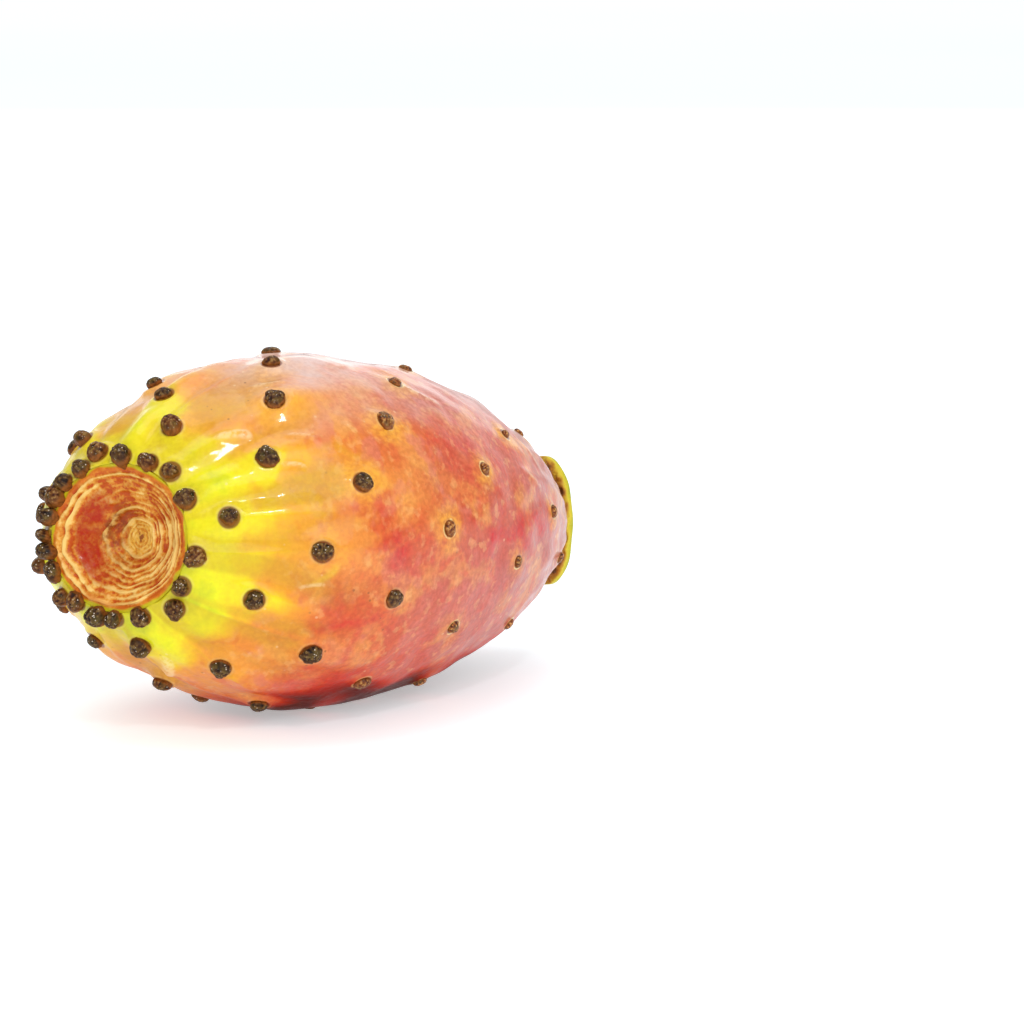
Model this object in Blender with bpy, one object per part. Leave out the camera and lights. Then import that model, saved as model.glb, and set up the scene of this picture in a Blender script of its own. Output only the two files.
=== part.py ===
"""Prickly pear fruit lying on its side on a small flat spot, with the slice of pad that it was picked with.

The fruit is one grown body: an egg-like barrel, the dished scar of the flower in its blossom end, and the
corky areoles that sit on its skin in a golden-angle spiral. A point of the skin is given by its station, the
distance along the fruit's own axis from the stem end to the blossom end, and by the angle round that axis.
Angle 0 is the upper side and 90 degrees is the front side.
"""

import math

import bmesh
import bpy
import numpy as np

MM = 0.001

# How the fruit lies
BLOSSOM_END_RAISED = math.radians(5.79)
ROLL = math.radians(-6.83)
MIDDLE = np.array([2.84, 0.11, 24.36]) * MM

# Barrel
AXIS_LENGTH = 90.0 * MM
STEM_END_STATION = 4.5 * MM
STEM_END_ROUNDING = 1.2 * MM
STEM_FULLNESS = 0.6 * MM
STEM_FULLNESS_REACH = 7.2 * MM
WIDEST_STATION = 60.5 * MM
WIDEST_RADIUS = 25.6 * MM
RIM_RADIUS = 10.38 * MM
STEM_CURVE = (2.40, 1.20)
RIM_CURVE = (2.04, 1.19)
RIM_SLANT = 0.327
SLANT_STARTS = 0.70

# Flower scar
SCAR_DEPTH = 4.1 * MM
SCAR_FLOOR_RADIUS = 2.95 * MM
SCAR_EDGE_RADIUS = 9.7 * MM
SCAR_HOLLOWNESS = 1.25
SCAR_LEAN_STARTS = 2.4 * MM
SCAR_LEAN_REACH = 3.2 * MM
RING_PITCH = 1.42 * MM
RING_HEIGHT = 0.16 * MM

# Spiral of areoles, those on the rim of the scar numbered below 0. Shares are of the axis length.
FIRST_AREOLE = -20
LAST_AREOLE = 62
START_ANGLE = math.radians(81.5)
SPIRAL_TURN = math.radians(137.41)
START_SHARE = 0.9748
SHARE_STEP = 0.00585
SHARE_STEP_GROWTH = 0.00012
RIM_SHARE = 0.998
RIM_CROWDING = 2.58
FRONT_SPREAD = math.radians(14)
FRONT_SPREAD_STARTS = 0.43
FRONT_DIP = 0.0756
FRONT_DIP_FADES = 0.25
NEARNESS_STARTS = 0.35
NEARNESS_REACH = 0.50

# Knobs of the areoles, and how much larger they get towards the rim
KNOB_RADIUS = 0.85 * MM
KNOB_RADIUS_GAIN = 0.65 * MM
KNOB_RADIUS_SPREAD = (0.9, 1.1)
KNOB_HEIGHT = 0.28 * MM
KNOB_HEIGHT_GAIN = 0.37 * MM
RIM_KNOB_GAIN = 0.90 * MM
RIM_KNOB_SHARE = 0.94
KNOB_ROOT = 1.2 * MM
KNOB_ROOT_SPREAD = 0.8
KNOB_WAIST_LEVEL = 0.25
KNOB_SHOULDER_LEVEL = 0.8
KNOB_SHOULDER_SPREAD = 0.62
KNOB_SEED = 7
SIDEWAYS_HINT = (0.3, 0.2, 0.9)

# Ribs that the areoles stand on near the rim, low mounds elsewhere
RIBS_START = 0.62
RIBS_REACH = 0.30
RIB_HEIGHT = 1.25 * MM
MOUND_HEIGHT = 0.22 * MM
MOUND_HALF_WIDTH = 2.7 * MM
RIM_WARD_REACH = 2.6 * MM
STEM_WARD_REACH = 4.0 * MM
STEM_WARD_REACH_GAIN = 6.0 * MM
RIB_SETTLE = 0.85 * MM
SETTLE_STARTS = 0.60
SETTLE_REACH = 0.25

# Slice of pad at the stem end
HEEL_HALF_LENGTH = 10.0 * MM
HEEL_HALF_WIDTH = 4.8 * MM
HEEL_THICKNESS = 2.3 * MM
HEEL_OUTER_STATION = 0.9 * MM
HEEL_BEND = 0.9 * MM
HEEL_SQUARENESS = 2.6
# Spread and depth of each ring of the slice, from its outer face round its edge to its inner face
HEEL_LEVELS = ((0.45, 0.0), (0.8, 0.02), (0.94, 0.15), (1.0, 0.5), (0.94, 0.85), (0.8, 0.98))
NECK_RADIUS = 3.9 * MM
NECK_TAPER = 0.85
NECK_GAP = 0.3 * MM

# Fineness of the meshes
SIDES = 64
STEM_ROWS = 4
BARREL_ROWS = 34
ROWS_CROWD = 1.6
SCAR_ROWS = 13
KNOB_SIDES = 8
HEEL_SIDES = 40
SHARP_EDGE = math.radians(50)


def smooth_step(x):
    """Rises from 0 at x = 0 to 1 at x = 1, level at both ends."""
    x = np.clip(x, 0, 1)
    return x * x * (3 - 2 * x)


def barrel_radius(station):
    """Radius of the smooth barrel, full towards the stem end and tighter down to the rim of the scar."""
    to_stem = np.clip((WIDEST_STATION - station) / WIDEST_STATION, 0, 1)
    to_rim = np.clip((station - WIDEST_STATION) / (AXIS_LENGTH - WIDEST_STATION), 0, 1)
    stem_side = WIDEST_RADIUS * (1 - to_stem ** STEM_CURVE[0]) ** (1 / STEM_CURVE[1])
    stem_side = stem_side + STEM_FULLNESS * np.exp(-((station / STEM_FULLNESS_REACH) ** 2))
    swell = (1 - to_rim ** RIM_CURVE[0]) ** (1 / RIM_CURVE[1])
    rim_side = RIM_RADIUS + (WIDEST_RADIUS - RIM_RADIUS) * swell
    return np.where(station < WIDEST_STATION, stem_side, rim_side)


def areole_places():
    """Station, angle and nearness to the rim of every areole, by the golden-angle rule."""
    number = np.arange(FIRST_AREOLE, LAST_AREOLE + 1)
    on_barrel = START_SHARE - SHARE_STEP * number - SHARE_STEP_GROWTH * number**2
    on_rim = RIM_SHARE - (RIM_SHARE - START_SHARE) * np.exp(np.minimum(number, 0) / RIM_CROWDING)
    share = np.where(number >= 0, on_barrel, on_rim)
    angle = START_ANGLE - SPIRAL_TURN * number
    spread = np.clip((share - FRONT_SPREAD_STARTS) / (1 - FRONT_SPREAD_STARTS), 0, 1)
    angle = angle - FRONT_SPREAD * np.cos(angle) * spread
    share = share - FRONT_DIP * np.sin(angle) * np.clip((1 - share) / FRONT_DIP_FADES, 0, 1)
    return share * AXIS_LENGTH, angle, smooth_step((share - NEARNESS_STARTS) / NEARNESS_REACH)


def rib_relief(station, angle):
    """Height of the ribs and mounds under the areoles: short towards the rim, long towards the stem end."""
    radius = barrel_radius(station)
    height = np.zeros(np.broadcast(station, angle).shape)
    for place, turn, nearness in zip(*areole_places()):
        past = station - place
        round_by = radius * (np.mod(angle - turn + math.pi, 2 * math.pi) - math.pi)
        reach = np.where(past > 0, RIM_WARD_REACH, STEM_WARD_REACH + STEM_WARD_REACH_GAIN * nearness)
        ribbed = smooth_step((place / AXIS_LENGTH - RIBS_START) / RIBS_REACH)
        tall = MOUND_HEIGHT + (RIB_HEIGHT - MOUND_HEIGHT) * ribbed
        mound = tall * np.exp(-((past / reach) ** 2) - (round_by / MOUND_HALF_WIDTH) ** 2)
        height = height + mound**4
    settle = RIB_SETTLE * smooth_step((station / AXIS_LENGTH - SETTLE_STARTS) / SETTLE_REACH)
    return height**0.25 - settle


def placed(along, radius, angle):
    """World points from the distance along the axis, the radius and the angle round the axis."""
    axis = np.array([-math.cos(BLOSSOM_END_RAISED), 0, math.sin(BLOSSOM_END_RAISED)])
    top = np.array([math.sin(BLOSSOM_END_RAISED), 0, math.cos(BLOSSOM_END_RAISED)])
    near = np.array([0, -1, 0])
    upper = math.cos(ROLL) * top + math.sin(ROLL) * near
    front = math.cos(ROLL) * near - math.sin(ROLL) * top
    across = np.cos(angle)[..., None] * upper + np.sin(angle)[..., None] * front
    return MIDDLE + (along - AXIS_LENGTH / 2)[..., None] * axis + np.asarray(radius)[..., None] * across


def slanted(station, radius, angle, share=1.0):
    """Distance along the axis once the blossom end is slanted, as its far side stands forward of its near side."""
    blend = smooth_step((station / AXIS_LENGTH - SLANT_STARTS) / (1 - SLANT_STARTS))
    return station - RIM_SLANT * share * blend * radius * np.sin(angle)


def skin_point(station, angle):
    """World points on the skin."""
    radius = barrel_radius(station) + rib_relief(station, angle)
    return placed(slanted(station, radius, angle), radius, angle)


def skin_normal(station, angle):
    """Unit vectors out of the skin, from small steps along it."""
    step = 0.05 * MM
    turn = 0.002
    along = skin_point(station + step, angle) - skin_point(station - step, angle)
    around = skin_point(station, angle + turn) - skin_point(station, angle - turn)
    normal = np.cross(along, around)
    return normal / np.linalg.norm(normal, axis=-1, keepdims=True)


def stem_rows(angle):
    """Rings of the small rounded button that closes the stem end."""
    rows = []
    for share in np.arange(1, STEM_ROWS + 1) / STEM_ROWS:
        bend = share * math.pi / 2
        station = STEM_END_STATION + STEM_END_ROUNDING * (1 - math.cos(bend))
        radius = math.sin(bend) * barrel_radius(np.array(STEM_END_STATION + STEM_END_ROUNDING))
        rows.append(placed(np.full(SIDES, station), np.full(SIDES, radius), angle))
    return rows


def barrel_rows(angle):
    """Rings of the barrel, closer together towards the rim of the scar."""
    start = STEM_END_STATION + STEM_END_ROUNDING
    share = 1 - (1 - np.arange(1, BARREL_ROWS + 1) / BARREL_ROWS) ** ROWS_CROWD
    return [skin_point(np.full(SIDES, start + (AXIS_LENGTH - start) * s), angle) for s in share]


def scar_rise(radius):
    """Height of the dish above its floor, with its low concentric rings."""
    out = np.clip((radius - SCAR_FLOOR_RADIUS) / (SCAR_EDGE_RADIUS - SCAR_FLOOR_RADIUS), 0, 1)
    slope = out**SCAR_HOLLOWNESS
    rings = RING_HEIGHT * np.cos(2 * math.pi * (radius - SCAR_FLOOR_RADIUS) / RING_PITCH)
    return SCAR_DEPTH * slope + rings * smooth_step((SCAR_EDGE_RADIUS - radius) / RING_PITCH)


def scar_rows(angle):
    """Rings of the flower scar from its rim in to the floor, which is square to the axis."""
    rows = []
    for radius in np.linspace(RIM_RADIUS, 0, SCAR_ROWS + 1)[1:-1]:
        leaning = smooth_step((radius - SCAR_LEAN_STARTS) / SCAR_LEAN_REACH)
        ring = np.full(SIDES, radius)
        along = slanted(np.full(SIDES, AXIS_LENGTH), ring, angle, leaning) - SCAR_DEPTH + scar_rise(ring)
        rows.append(placed(along, ring, angle))
    return rows


def closed_rings(rows, first_tip, last_tip):
    """Vertices and faces of a closed tube of rings with a point at each end."""
    sides = len(rows[0])
    points = [first_tip, *np.concatenate(rows), last_tip]
    last = len(points) - 1
    faces = []
    for i in range(sides):
        j = (i + 1) % sides
        faces.append((0, 1 + i, 1 + j))
        for row in range(len(rows) - 1):
            low = 1 + row * sides
            faces.append((low + i, low + sides + i, low + sides + j, low + j))
        faces.append((last - sides + i, last, last - sides + j))
    return [tuple(map(float, point)) for point in points], faces


def solid_object(name, points, faces, slots):
    """A mesh object with its faces turned outwards and shaded smooth."""
    mesh = bpy.data.meshes.new(name)
    mesh.from_pydata(points, [], faces)
    for slot in slots:
        mesh.materials.append(slot)
    shape = bmesh.new()
    shape.from_mesh(mesh)
    bmesh.ops.recalc_face_normals(shape, faces=shape.faces)
    shape.to_mesh(mesh)
    shape.free()
    mesh.shade_smooth()
    thing = bpy.data.objects.new(name, mesh)
    bpy.context.scene.collection.objects.link(thing)
    return thing


def plain_material(name, colour, roughness):
    """A Principled material of one colour."""
    material = bpy.data.materials.new(name)
    material.use_nodes = True
    shader = material.node_tree.nodes["Principled BSDF"]
    shader.inputs["Base Color"].default_value = (*colour, 1)
    shader.inputs["Roughness"].default_value = roughness
    shader.inputs["Metallic"].default_value = 0
    return material


def barrel_with_scar(slots):
    """The fleshy body of the fruit, before its areoles are joined to it."""
    angle = np.arange(SIDES) * 2 * math.pi / SIDES
    rows = stem_rows(angle) + barrel_rows(angle) + scar_rows(angle)
    centre = np.array(0.0)
    stem_tip = placed(np.array(STEM_END_STATION), centre, centre)
    scar_tip = placed(np.array(AXIS_LENGTH - SCAR_DEPTH), centre, centre)
    body = solid_object("fruit", *closed_rings(rows, stem_tip, scar_tip), slots)
    per_side = len(rows) + 1
    for face in body.data.polygons:
        row = face.index % per_side
        face.material_index = 1 if row >= STEM_ROWS + BARREL_ROWS else 0
    return body


def knob_rings(foot, out, radius, height):
    """Rings of one areole: a root sunk in the skin, a full waist and a low dome."""
    side = np.cross(out, SIDEWAYS_HINT)
    side = side / np.linalg.norm(side)
    up = np.cross(out, side)
    turn = np.arange(KNOB_SIDES) * 2 * math.pi / KNOB_SIDES
    circle = np.cos(turn)[:, None] * side + np.sin(turn)[:, None] * up
    root = (-KNOB_ROOT, KNOB_ROOT_SPREAD)
    waist = (KNOB_WAIST_LEVEL * height, 1.0)
    shoulder = (KNOB_SHOULDER_LEVEL * height, KNOB_SHOULDER_SPREAD)
    rows = [foot + out * level + circle * radius * share for level, share in (root, waist, shoulder)]
    return rows, foot - out * 1.1 * KNOB_ROOT, foot + out * height


def add_areoles(holder, slots):
    """One knob for each areole, larger and taller towards the rim of the scar."""
    draw = np.random.default_rng(KNOB_SEED)
    station, angle, nearness = areole_places()
    foot = skin_point(station, angle)
    out = skin_normal(station, angle)
    radius = (KNOB_RADIUS + KNOB_RADIUS_GAIN * nearness) * draw.uniform(*KNOB_RADIUS_SPREAD, len(station))
    on_rim = station > RIM_KNOB_SHARE * AXIS_LENGTH
    height = KNOB_HEIGHT + KNOB_HEIGHT_GAIN * nearness + RIM_KNOB_GAIN * on_rim
    for i in range(len(station)):
        shape = closed_rings(*knob_rings(foot[i], out[i], radius[i], height[i]))
        knob = solid_object(f"areole_{i + 1}", *shape, slots)
        for face in knob.data.polygons:
            face.material_index = 2
        bpy.context.scene.collection.objects.unlink(knob)
        holder.objects.link(knob)


def join_areoles(body, holder):
    """One union of the body with every areole, applied, after which the loose areoles are removed."""
    union = body.modifiers.new("areoles", "BOOLEAN")
    union.operation = "UNION"
    union.operand_type = "COLLECTION"
    union.collection = holder
    union.solver = "EXACT"
    bpy.context.view_layer.update()
    joined = bpy.data.meshes.new_from_object(body.evaluated_get(bpy.context.evaluated_depsgraph_get()))
    body.modifiers.clear()
    body.data = joined
    for knob in list(holder.objects):
        bpy.data.objects.remove(knob)
    bpy.data.collections.remove(holder)


def cut_flat_spot(body):
    """Cuts the body level with the surface that it lies on, and closes the cut."""
    shape = bmesh.new()
    shape.from_mesh(body.data)
    everything = shape.verts[:] + shape.edges[:] + shape.faces[:]
    level = (0, 0, 0)
    bmesh.ops.bisect_plane(shape, geom=everything, plane_co=level, plane_no=(0, 0, 1), clear_inner=True)
    rim = [edge for edge in shape.edges if edge.is_boundary]
    bmesh.ops.holes_fill(shape, edges=rim, sides=0)
    bmesh.ops.triangulate(shape, faces=shape.faces)
    shape.to_mesh(body.data)
    shape.free()
    body.data.set_sharp_from_angle(angle=SHARP_EDGE)


def make_fruit(skin, scar, areole):
    """The fruit, as one closed body."""
    slots = (skin, scar, areole)
    body = barrel_with_scar(slots)
    holder = bpy.data.collections.new("areoles")
    bpy.context.scene.collection.children.link(holder)
    add_areoles(holder, slots)
    join_areoles(body, holder)
    cut_flat_spot(body)
    return body


def blunt(wave):
    """Turns a circle's sine or cosine into that of a blunt-ended oval."""
    return np.sign(wave) * np.abs(wave) ** (2 / HEEL_SQUARENESS)


def heel_rows():
    """Rings of the slice of pad, from the middle of its outer face round its edge and up to the neck."""
    turn = np.arange(HEEL_SIDES) * 2 * math.pi / HEEL_SIDES
    rows = []
    for spread, depth in HEEL_LEVELS:
        tall = spread * HEEL_HALF_LENGTH * blunt(np.cos(turn))
        wide = spread * HEEL_HALF_WIDTH * blunt(np.sin(turn))
        station = HEEL_OUTER_STATION + HEEL_THICKNESS * depth + HEEL_BEND * (tall / HEEL_HALF_LENGTH) ** 2
        rows.append(placed(station, np.hypot(tall, wide), np.arctan2(wide, tall)))
    neck_foot = HEEL_OUTER_STATION + HEEL_THICKNESS
    neck_top = STEM_END_STATION - NECK_GAP
    for station, radius in ((neck_foot, NECK_RADIUS), (neck_top, NECK_TAPER * NECK_RADIUS)):
        rows.append(placed(np.full(HEEL_SIDES, station), np.full(HEEL_SIDES, radius), turn))
    return rows


def make_heel(rind):
    """The slice of pad with the corky neck that meets the fruit."""
    centre = np.array(0.0)
    outer_tip = placed(np.array(HEEL_OUTER_STATION), centre, centre)
    neck_tip = placed(np.array(STEM_END_STATION - NECK_GAP), centre, centre)
    return solid_object("pad_heel", *closed_rings(heel_rows(), outer_tip, neck_tip), (rind,))


def main():
    for thing in list(bpy.data.objects):
        bpy.data.objects.remove(thing)
    skin = plain_material("skin", (0.80, 0.27, 0.12), 0.38)
    scar = plain_material("flower_scar", (0.66, 0.25, 0.08), 0.50)
    areole = plain_material("areole", (0.10, 0.06, 0.03), 0.60)
    rind = plain_material("pad_heel", (0.50, 0.47, 0.10), 0.50)
    make_fruit(skin, scar, areole)
    make_heel(rind)


main()
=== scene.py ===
# %% [markdown]
# # A ripe prickly pear
# The fruit of a prickly pear cactus is one grown body: a barrel with a thin waxy skin, a dished scar in its
# blossom end where the flower fell off, and small corky cushions, the areoles, in a golden-angle spiral.
# At the stem end sits a slice of the pad that it was cut with.
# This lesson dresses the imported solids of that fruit. It repeats the same formulas for the form with a much
# finer mesh, and then gives every surface its own finish.

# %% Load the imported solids
import math

import bpy
import numpy as np
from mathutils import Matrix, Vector

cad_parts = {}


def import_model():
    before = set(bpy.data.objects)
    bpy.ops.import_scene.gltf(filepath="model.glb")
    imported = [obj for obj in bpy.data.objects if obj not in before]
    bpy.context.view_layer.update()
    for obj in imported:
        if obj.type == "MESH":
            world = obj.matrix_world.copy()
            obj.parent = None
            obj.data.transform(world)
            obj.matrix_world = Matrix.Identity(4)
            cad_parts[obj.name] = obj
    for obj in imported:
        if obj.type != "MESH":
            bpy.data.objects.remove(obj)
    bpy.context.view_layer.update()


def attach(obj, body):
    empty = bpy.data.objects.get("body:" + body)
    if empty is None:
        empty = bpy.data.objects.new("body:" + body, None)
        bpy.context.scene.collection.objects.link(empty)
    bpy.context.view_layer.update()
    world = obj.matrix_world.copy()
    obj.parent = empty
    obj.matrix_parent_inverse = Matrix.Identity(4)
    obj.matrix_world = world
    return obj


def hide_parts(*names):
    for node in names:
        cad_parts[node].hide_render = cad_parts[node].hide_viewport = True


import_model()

MM = 0.001


# %% [markdown]
# ## The form, as formulas
# A point of the skin is named by its station, the distance along the fruit's own axis from the stem end, and
# by the angle round that axis. It could be sculpted by hand, but a formula lets the skin, the scar and the
# areoles all ask the same question, where is the surface here, and so they fit each other exactly.
# The numbers are the fruit's real sizes and are the same as in the solids.

# %% Sizes of the fruit
BLOSSOM_END_RAISED = math.radians(5.79)
ROLL = math.radians(-6.83)
MIDDLE = np.array([2.84, 0.11, 24.36]) * MM
AXIS_LENGTH = 90.0 * MM
STEM_END_STATION = 4.5 * MM
STEM_END_ROUNDING = 1.2 * MM
STEM_FULLNESS = 0.6 * MM
STEM_FULLNESS_REACH = 7.2 * MM
WIDEST_STATION = 60.5 * MM
WIDEST_RADIUS = 25.6 * MM
RIM_RADIUS = 10.38 * MM
STEM_CURVE = (2.40, 1.20)
RIM_CURVE = (2.04, 1.19)
RIM_SLANT = 0.327
SLANT_STARTS = 0.70


def smooth_step(x):
    """Rises from 0 at x = 0 to 1 at x = 1, level at both ends."""
    x = np.clip(x, 0, 1)
    return x * x * (3 - 2 * x)


def wrapped(angle):
    """The same angle, brought between minus half a turn and half a turn."""
    return np.mod(angle + math.pi, 2 * math.pi) - math.pi


def barrel_radius(station):
    """Radius of the smooth barrel: two blunted quarter ovals that meet at the widest station."""
    to_stem = np.clip((WIDEST_STATION - station) / WIDEST_STATION, 0, 1)
    to_rim = np.clip((station - WIDEST_STATION) / (AXIS_LENGTH - WIDEST_STATION), 0, 1)
    stem_side = WIDEST_RADIUS * (1 - to_stem ** STEM_CURVE[0]) ** (1 / STEM_CURVE[1])
    stem_side = stem_side + STEM_FULLNESS * np.exp(-((station / STEM_FULLNESS_REACH) ** 2))
    swell = (1 - to_rim ** RIM_CURVE[0]) ** (1 / RIM_CURVE[1])
    rim_side = RIM_RADIUS + (WIDEST_RADIUS - RIM_RADIUS) * swell
    return np.where(station < WIDEST_STATION, stem_side, rim_side)


print("barrel", AXIS_LENGTH / MM, "mm long and", 2 * WIDEST_RADIUS / MM, "mm across")

# %% [markdown]
# ## The spiral of areoles
# On a cactus each new areole grows about 137.4 degrees round from the last one and a little further along.
# Placing them one by one from a picture would only cover the side that shows. The growing rule covers the
# whole fruit, and its few numbers are set so that the front agrees with the picture.

# %% Where the areoles grow
FIRST_AREOLE = -20
LAST_AREOLE = 62
START_ANGLE = math.radians(81.5)
SPIRAL_TURN = math.radians(137.41)
START_SHARE = 0.9748
SHARE_STEP = 0.00585
SHARE_STEP_GROWTH = 0.00012
RIM_SHARE = 0.998
RIM_CROWDING = 2.58
FRONT_SPREAD = math.radians(14)
FRONT_SPREAD_STARTS = 0.43
FRONT_DIP = 0.0756
FRONT_DIP_FADES = 0.25
NEARNESS_STARTS = 0.35
NEARNESS_REACH = 0.50


def areole_places():
    """Station, angle and nearness to the rim of every areole: a fixed turn and a growing step for each."""
    number = np.arange(FIRST_AREOLE, LAST_AREOLE + 1)
    on_barrel = START_SHARE - SHARE_STEP * number - SHARE_STEP_GROWTH * number**2
    on_rim = RIM_SHARE - (RIM_SHARE - START_SHARE) * np.exp(np.minimum(number, 0) / RIM_CROWDING)
    share = np.where(number >= 0, on_barrel, on_rim)
    angle = START_ANGLE - SPIRAL_TURN * number
    spread = np.clip((share - FRONT_SPREAD_STARTS) / (1 - FRONT_SPREAD_STARTS), 0, 1)
    angle = angle - FRONT_SPREAD * np.cos(angle) * spread
    share = share - FRONT_DIP * np.sin(angle) * np.clip((1 - share) / FRONT_DIP_FADES, 0, 1)
    return share * AXIS_LENGTH, angle, smooth_step((share - NEARNESS_STARTS) / NEARNESS_REACH)


AREOLE_STATION, AREOLE_ANGLE, AREOLE_NEARNESS = areole_places()
print(len(AREOLE_STATION), "areoles, from station", round(AREOLE_STATION.min() / MM, 1), "mm to the rim")

# %% [markdown]
# ## Ribs, and the way to world space
# Near the rim each areole stands on a rib that runs out towards the stem end, and further along only on a low
# mound. Each rib is a bell curve, short on the rim side and long on the other. A fourth-power sum joins the
# bells, so that neighbours merge and don't pile up.

# %% Ribs and placing
RIBS_START = 0.62
RIBS_REACH = 0.30
RIB_HEIGHT = 1.25 * MM
MOUND_HEIGHT = 0.22 * MM
MOUND_HALF_WIDTH = 2.7 * MM
RIM_WARD_REACH = 2.6 * MM
STEM_WARD_REACH = 4.0 * MM
STEM_WARD_REACH_GAIN = 6.0 * MM
RIB_SETTLE = 0.85 * MM
SETTLE_STARTS = 0.60
SETTLE_REACH = 0.25
AXIS = np.array([-math.cos(BLOSSOM_END_RAISED), 0, math.sin(BLOSSOM_END_RAISED)])


def rib_relief(station, angle):
    """Height of ribs and mounds: the fourth root of the sum of each bell's fourth power, less a settling."""
    radius = barrel_radius(station)
    height = np.zeros(np.broadcast(station, angle).shape)
    for place, turn, nearness in zip(AREOLE_STATION, AREOLE_ANGLE, AREOLE_NEARNESS):
        past = station - place
        round_by = radius * wrapped(angle - turn)
        reach = np.where(past > 0, RIM_WARD_REACH, STEM_WARD_REACH + STEM_WARD_REACH_GAIN * nearness)
        ribbed = smooth_step((place / AXIS_LENGTH - RIBS_START) / RIBS_REACH)
        tall = MOUND_HEIGHT + (RIB_HEIGHT - MOUND_HEIGHT) * ribbed
        mound = tall * np.exp(-((past / reach) ** 2) - (round_by / MOUND_HALF_WIDTH) ** 2)
        height = height + mound**4
    settle = RIB_SETTLE * smooth_step((station / AXIS_LENGTH - SETTLE_STARTS) / SETTLE_REACH)
    return height**0.25 - settle


def placed(along, radius, angle):
    """World points: so far along the tilted axis, then out by the radius at the angle from its upper side."""
    top = np.array([math.sin(BLOSSOM_END_RAISED), 0, math.cos(BLOSSOM_END_RAISED)])
    near = np.array([0, -1, 0])
    upper = math.cos(ROLL) * top + math.sin(ROLL) * near
    front = math.cos(ROLL) * near - math.sin(ROLL) * top
    across = np.cos(angle)[..., None] * upper + np.sin(angle)[..., None] * front
    return MIDDLE + (along - AXIS_LENGTH / 2)[..., None] * AXIS + np.asarray(radius)[..., None] * across


def slanted(station, radius, angle, share=1.0):
    """Distance along the axis once the blossom end is sheared, so that its far side stands forward."""
    blend = smooth_step((station / AXIS_LENGTH - SLANT_STARTS) / (1 - SLANT_STARTS))
    return station - RIM_SLANT * share * blend * radius * np.sin(angle)


def skin_point(station, angle, lift=0.0):
    """World points on the skin, raised from it by the lift."""
    radius = barrel_radius(station) + rib_relief(station, angle) + lift
    return placed(slanted(station, radius, angle), radius, angle)


def unit(vectors):
    """The same directions at length 1."""
    return vectors / np.linalg.norm(vectors, axis=-1, keepdims=True)


def skin_normal(station, angle):
    """Unit vectors out of the skin: the cross product of a small step along and a small step round."""
    step = 0.05 * MM
    turn = 0.002
    along = skin_point(station + step, angle) - skin_point(station - step, angle)
    around = skin_point(station, angle + turn) - skin_point(station, angle - turn)
    return unit(np.cross(along, around))


AREOLE_FOOT = skin_point(AREOLE_STATION, AREOLE_ANGLE)
AREOLE_OUT = skin_normal(AREOLE_STATION, AREOLE_ANGLE)
print("lowest areole foot at", round(AREOLE_FOOT[:, 2].min() / MM, 2), "mm")

# %% [markdown]
# ## Meshes from grids
# Every piece below is a grid of rings, closed at both ends by a point. foreach_set hands whole numpy arrays
# to Blender, which is far quicker than adding vertices one at a time. The volume tells whether the faces point
# outwards: if it comes out negative, every face is turned round. A mark is a number at every point, such as
# how ripe the skin is there, and the finishes read the marks further on.

# %% Grid helpers
WAVE_COUNT = 28


def ring_faces(rings, sides):
    """Quads between neighbouring rings, and the two fans of triangles that close the ends."""
    i = np.arange(sides)
    j = (i + 1) % sides
    row = np.arange(rings - 1)[:, None] * sides
    quads = np.stack([row + i, row + sides + i, row + sides + j, row + j], axis=-1).reshape(-1, 4)
    first, last, end = rings * sides, rings * sides + 1, (rings - 1) * sides
    fans = np.concatenate([
        np.stack([np.full(sides, first), i, j], axis=-1),
        np.stack([end + i, np.full(sides, last), end + j], axis=-1),
    ])
    return quads, fans


def closed_rings(rings):
    """Points, quads and fans of a closed piece: its rings (ring, side, xyz), and a tip amid each end ring."""
    points = np.concatenate([rings.reshape(-1, 3), [rings[0].mean(0)], [rings[-1].mean(0)]])
    return points, *ring_faces(*rings.shape[:2])


def closed_marks(marks):
    """The marks as rows, each with the mean of its first and of its last ring added for the two tips."""
    return {name: np.append(rows.ravel(), [rows[0].mean(), rows[-1].mean()]) for name, rows in marks.items()}


def outward(points, quads, fans):
    """The faces, turned round if the volume that they enclose comes out negative."""
    corners = np.concatenate([quads[:, :3], quads[:, [0, 2, 3]], fans])
    volume = np.linalg.det(points[corners] - points.mean(0)).sum() / 6
    if volume < 0:
        return quads[:, ::-1], fans[:, ::-1], -volume
    return quads, fans, volume


def make_piece(name, points, quads, fans, material, slot, node, marks):
    """A smooth mesh object at the origin, with a number at every point for each named mark."""
    quads, fans, volume = outward(points, quads, fans)
    mesh = bpy.data.meshes.new(name)
    mesh.vertices.add(len(points))
    mesh.vertices.foreach_set("co", points.astype(np.float32).ravel())
    corners = np.concatenate([quads.ravel(), fans.ravel()]).astype(np.int32)
    starts = np.concatenate([np.arange(len(quads)) * 4, len(quads) * 4 + np.arange(len(fans)) * 3])
    mesh.loops.add(len(corners))
    mesh.loops.foreach_set("vertex_index", corners)
    mesh.polygons.add(len(starts))
    mesh.polygons.foreach_set("loop_start", starts.astype(np.int32))
    mesh.update(calc_edges=True)
    mesh.validate()
    mesh.shade_smooth()
    for mark, values in marks.items():
        layer = mesh.attributes.new(mark, "FLOAT", "POINT")
        layer.data.foreach_set("value", values.astype(np.float32))
    mesh.materials.append(material)
    piece = bpy.data.objects.new(name, mesh)
    bpy.context.scene.collection.objects.link(piece)
    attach(piece, "root")
    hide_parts(node)
    print(f"{name}: {2 * len(quads) + len(fans)} triangles, {volume / MM**3:.0f} cubic mm")


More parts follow.
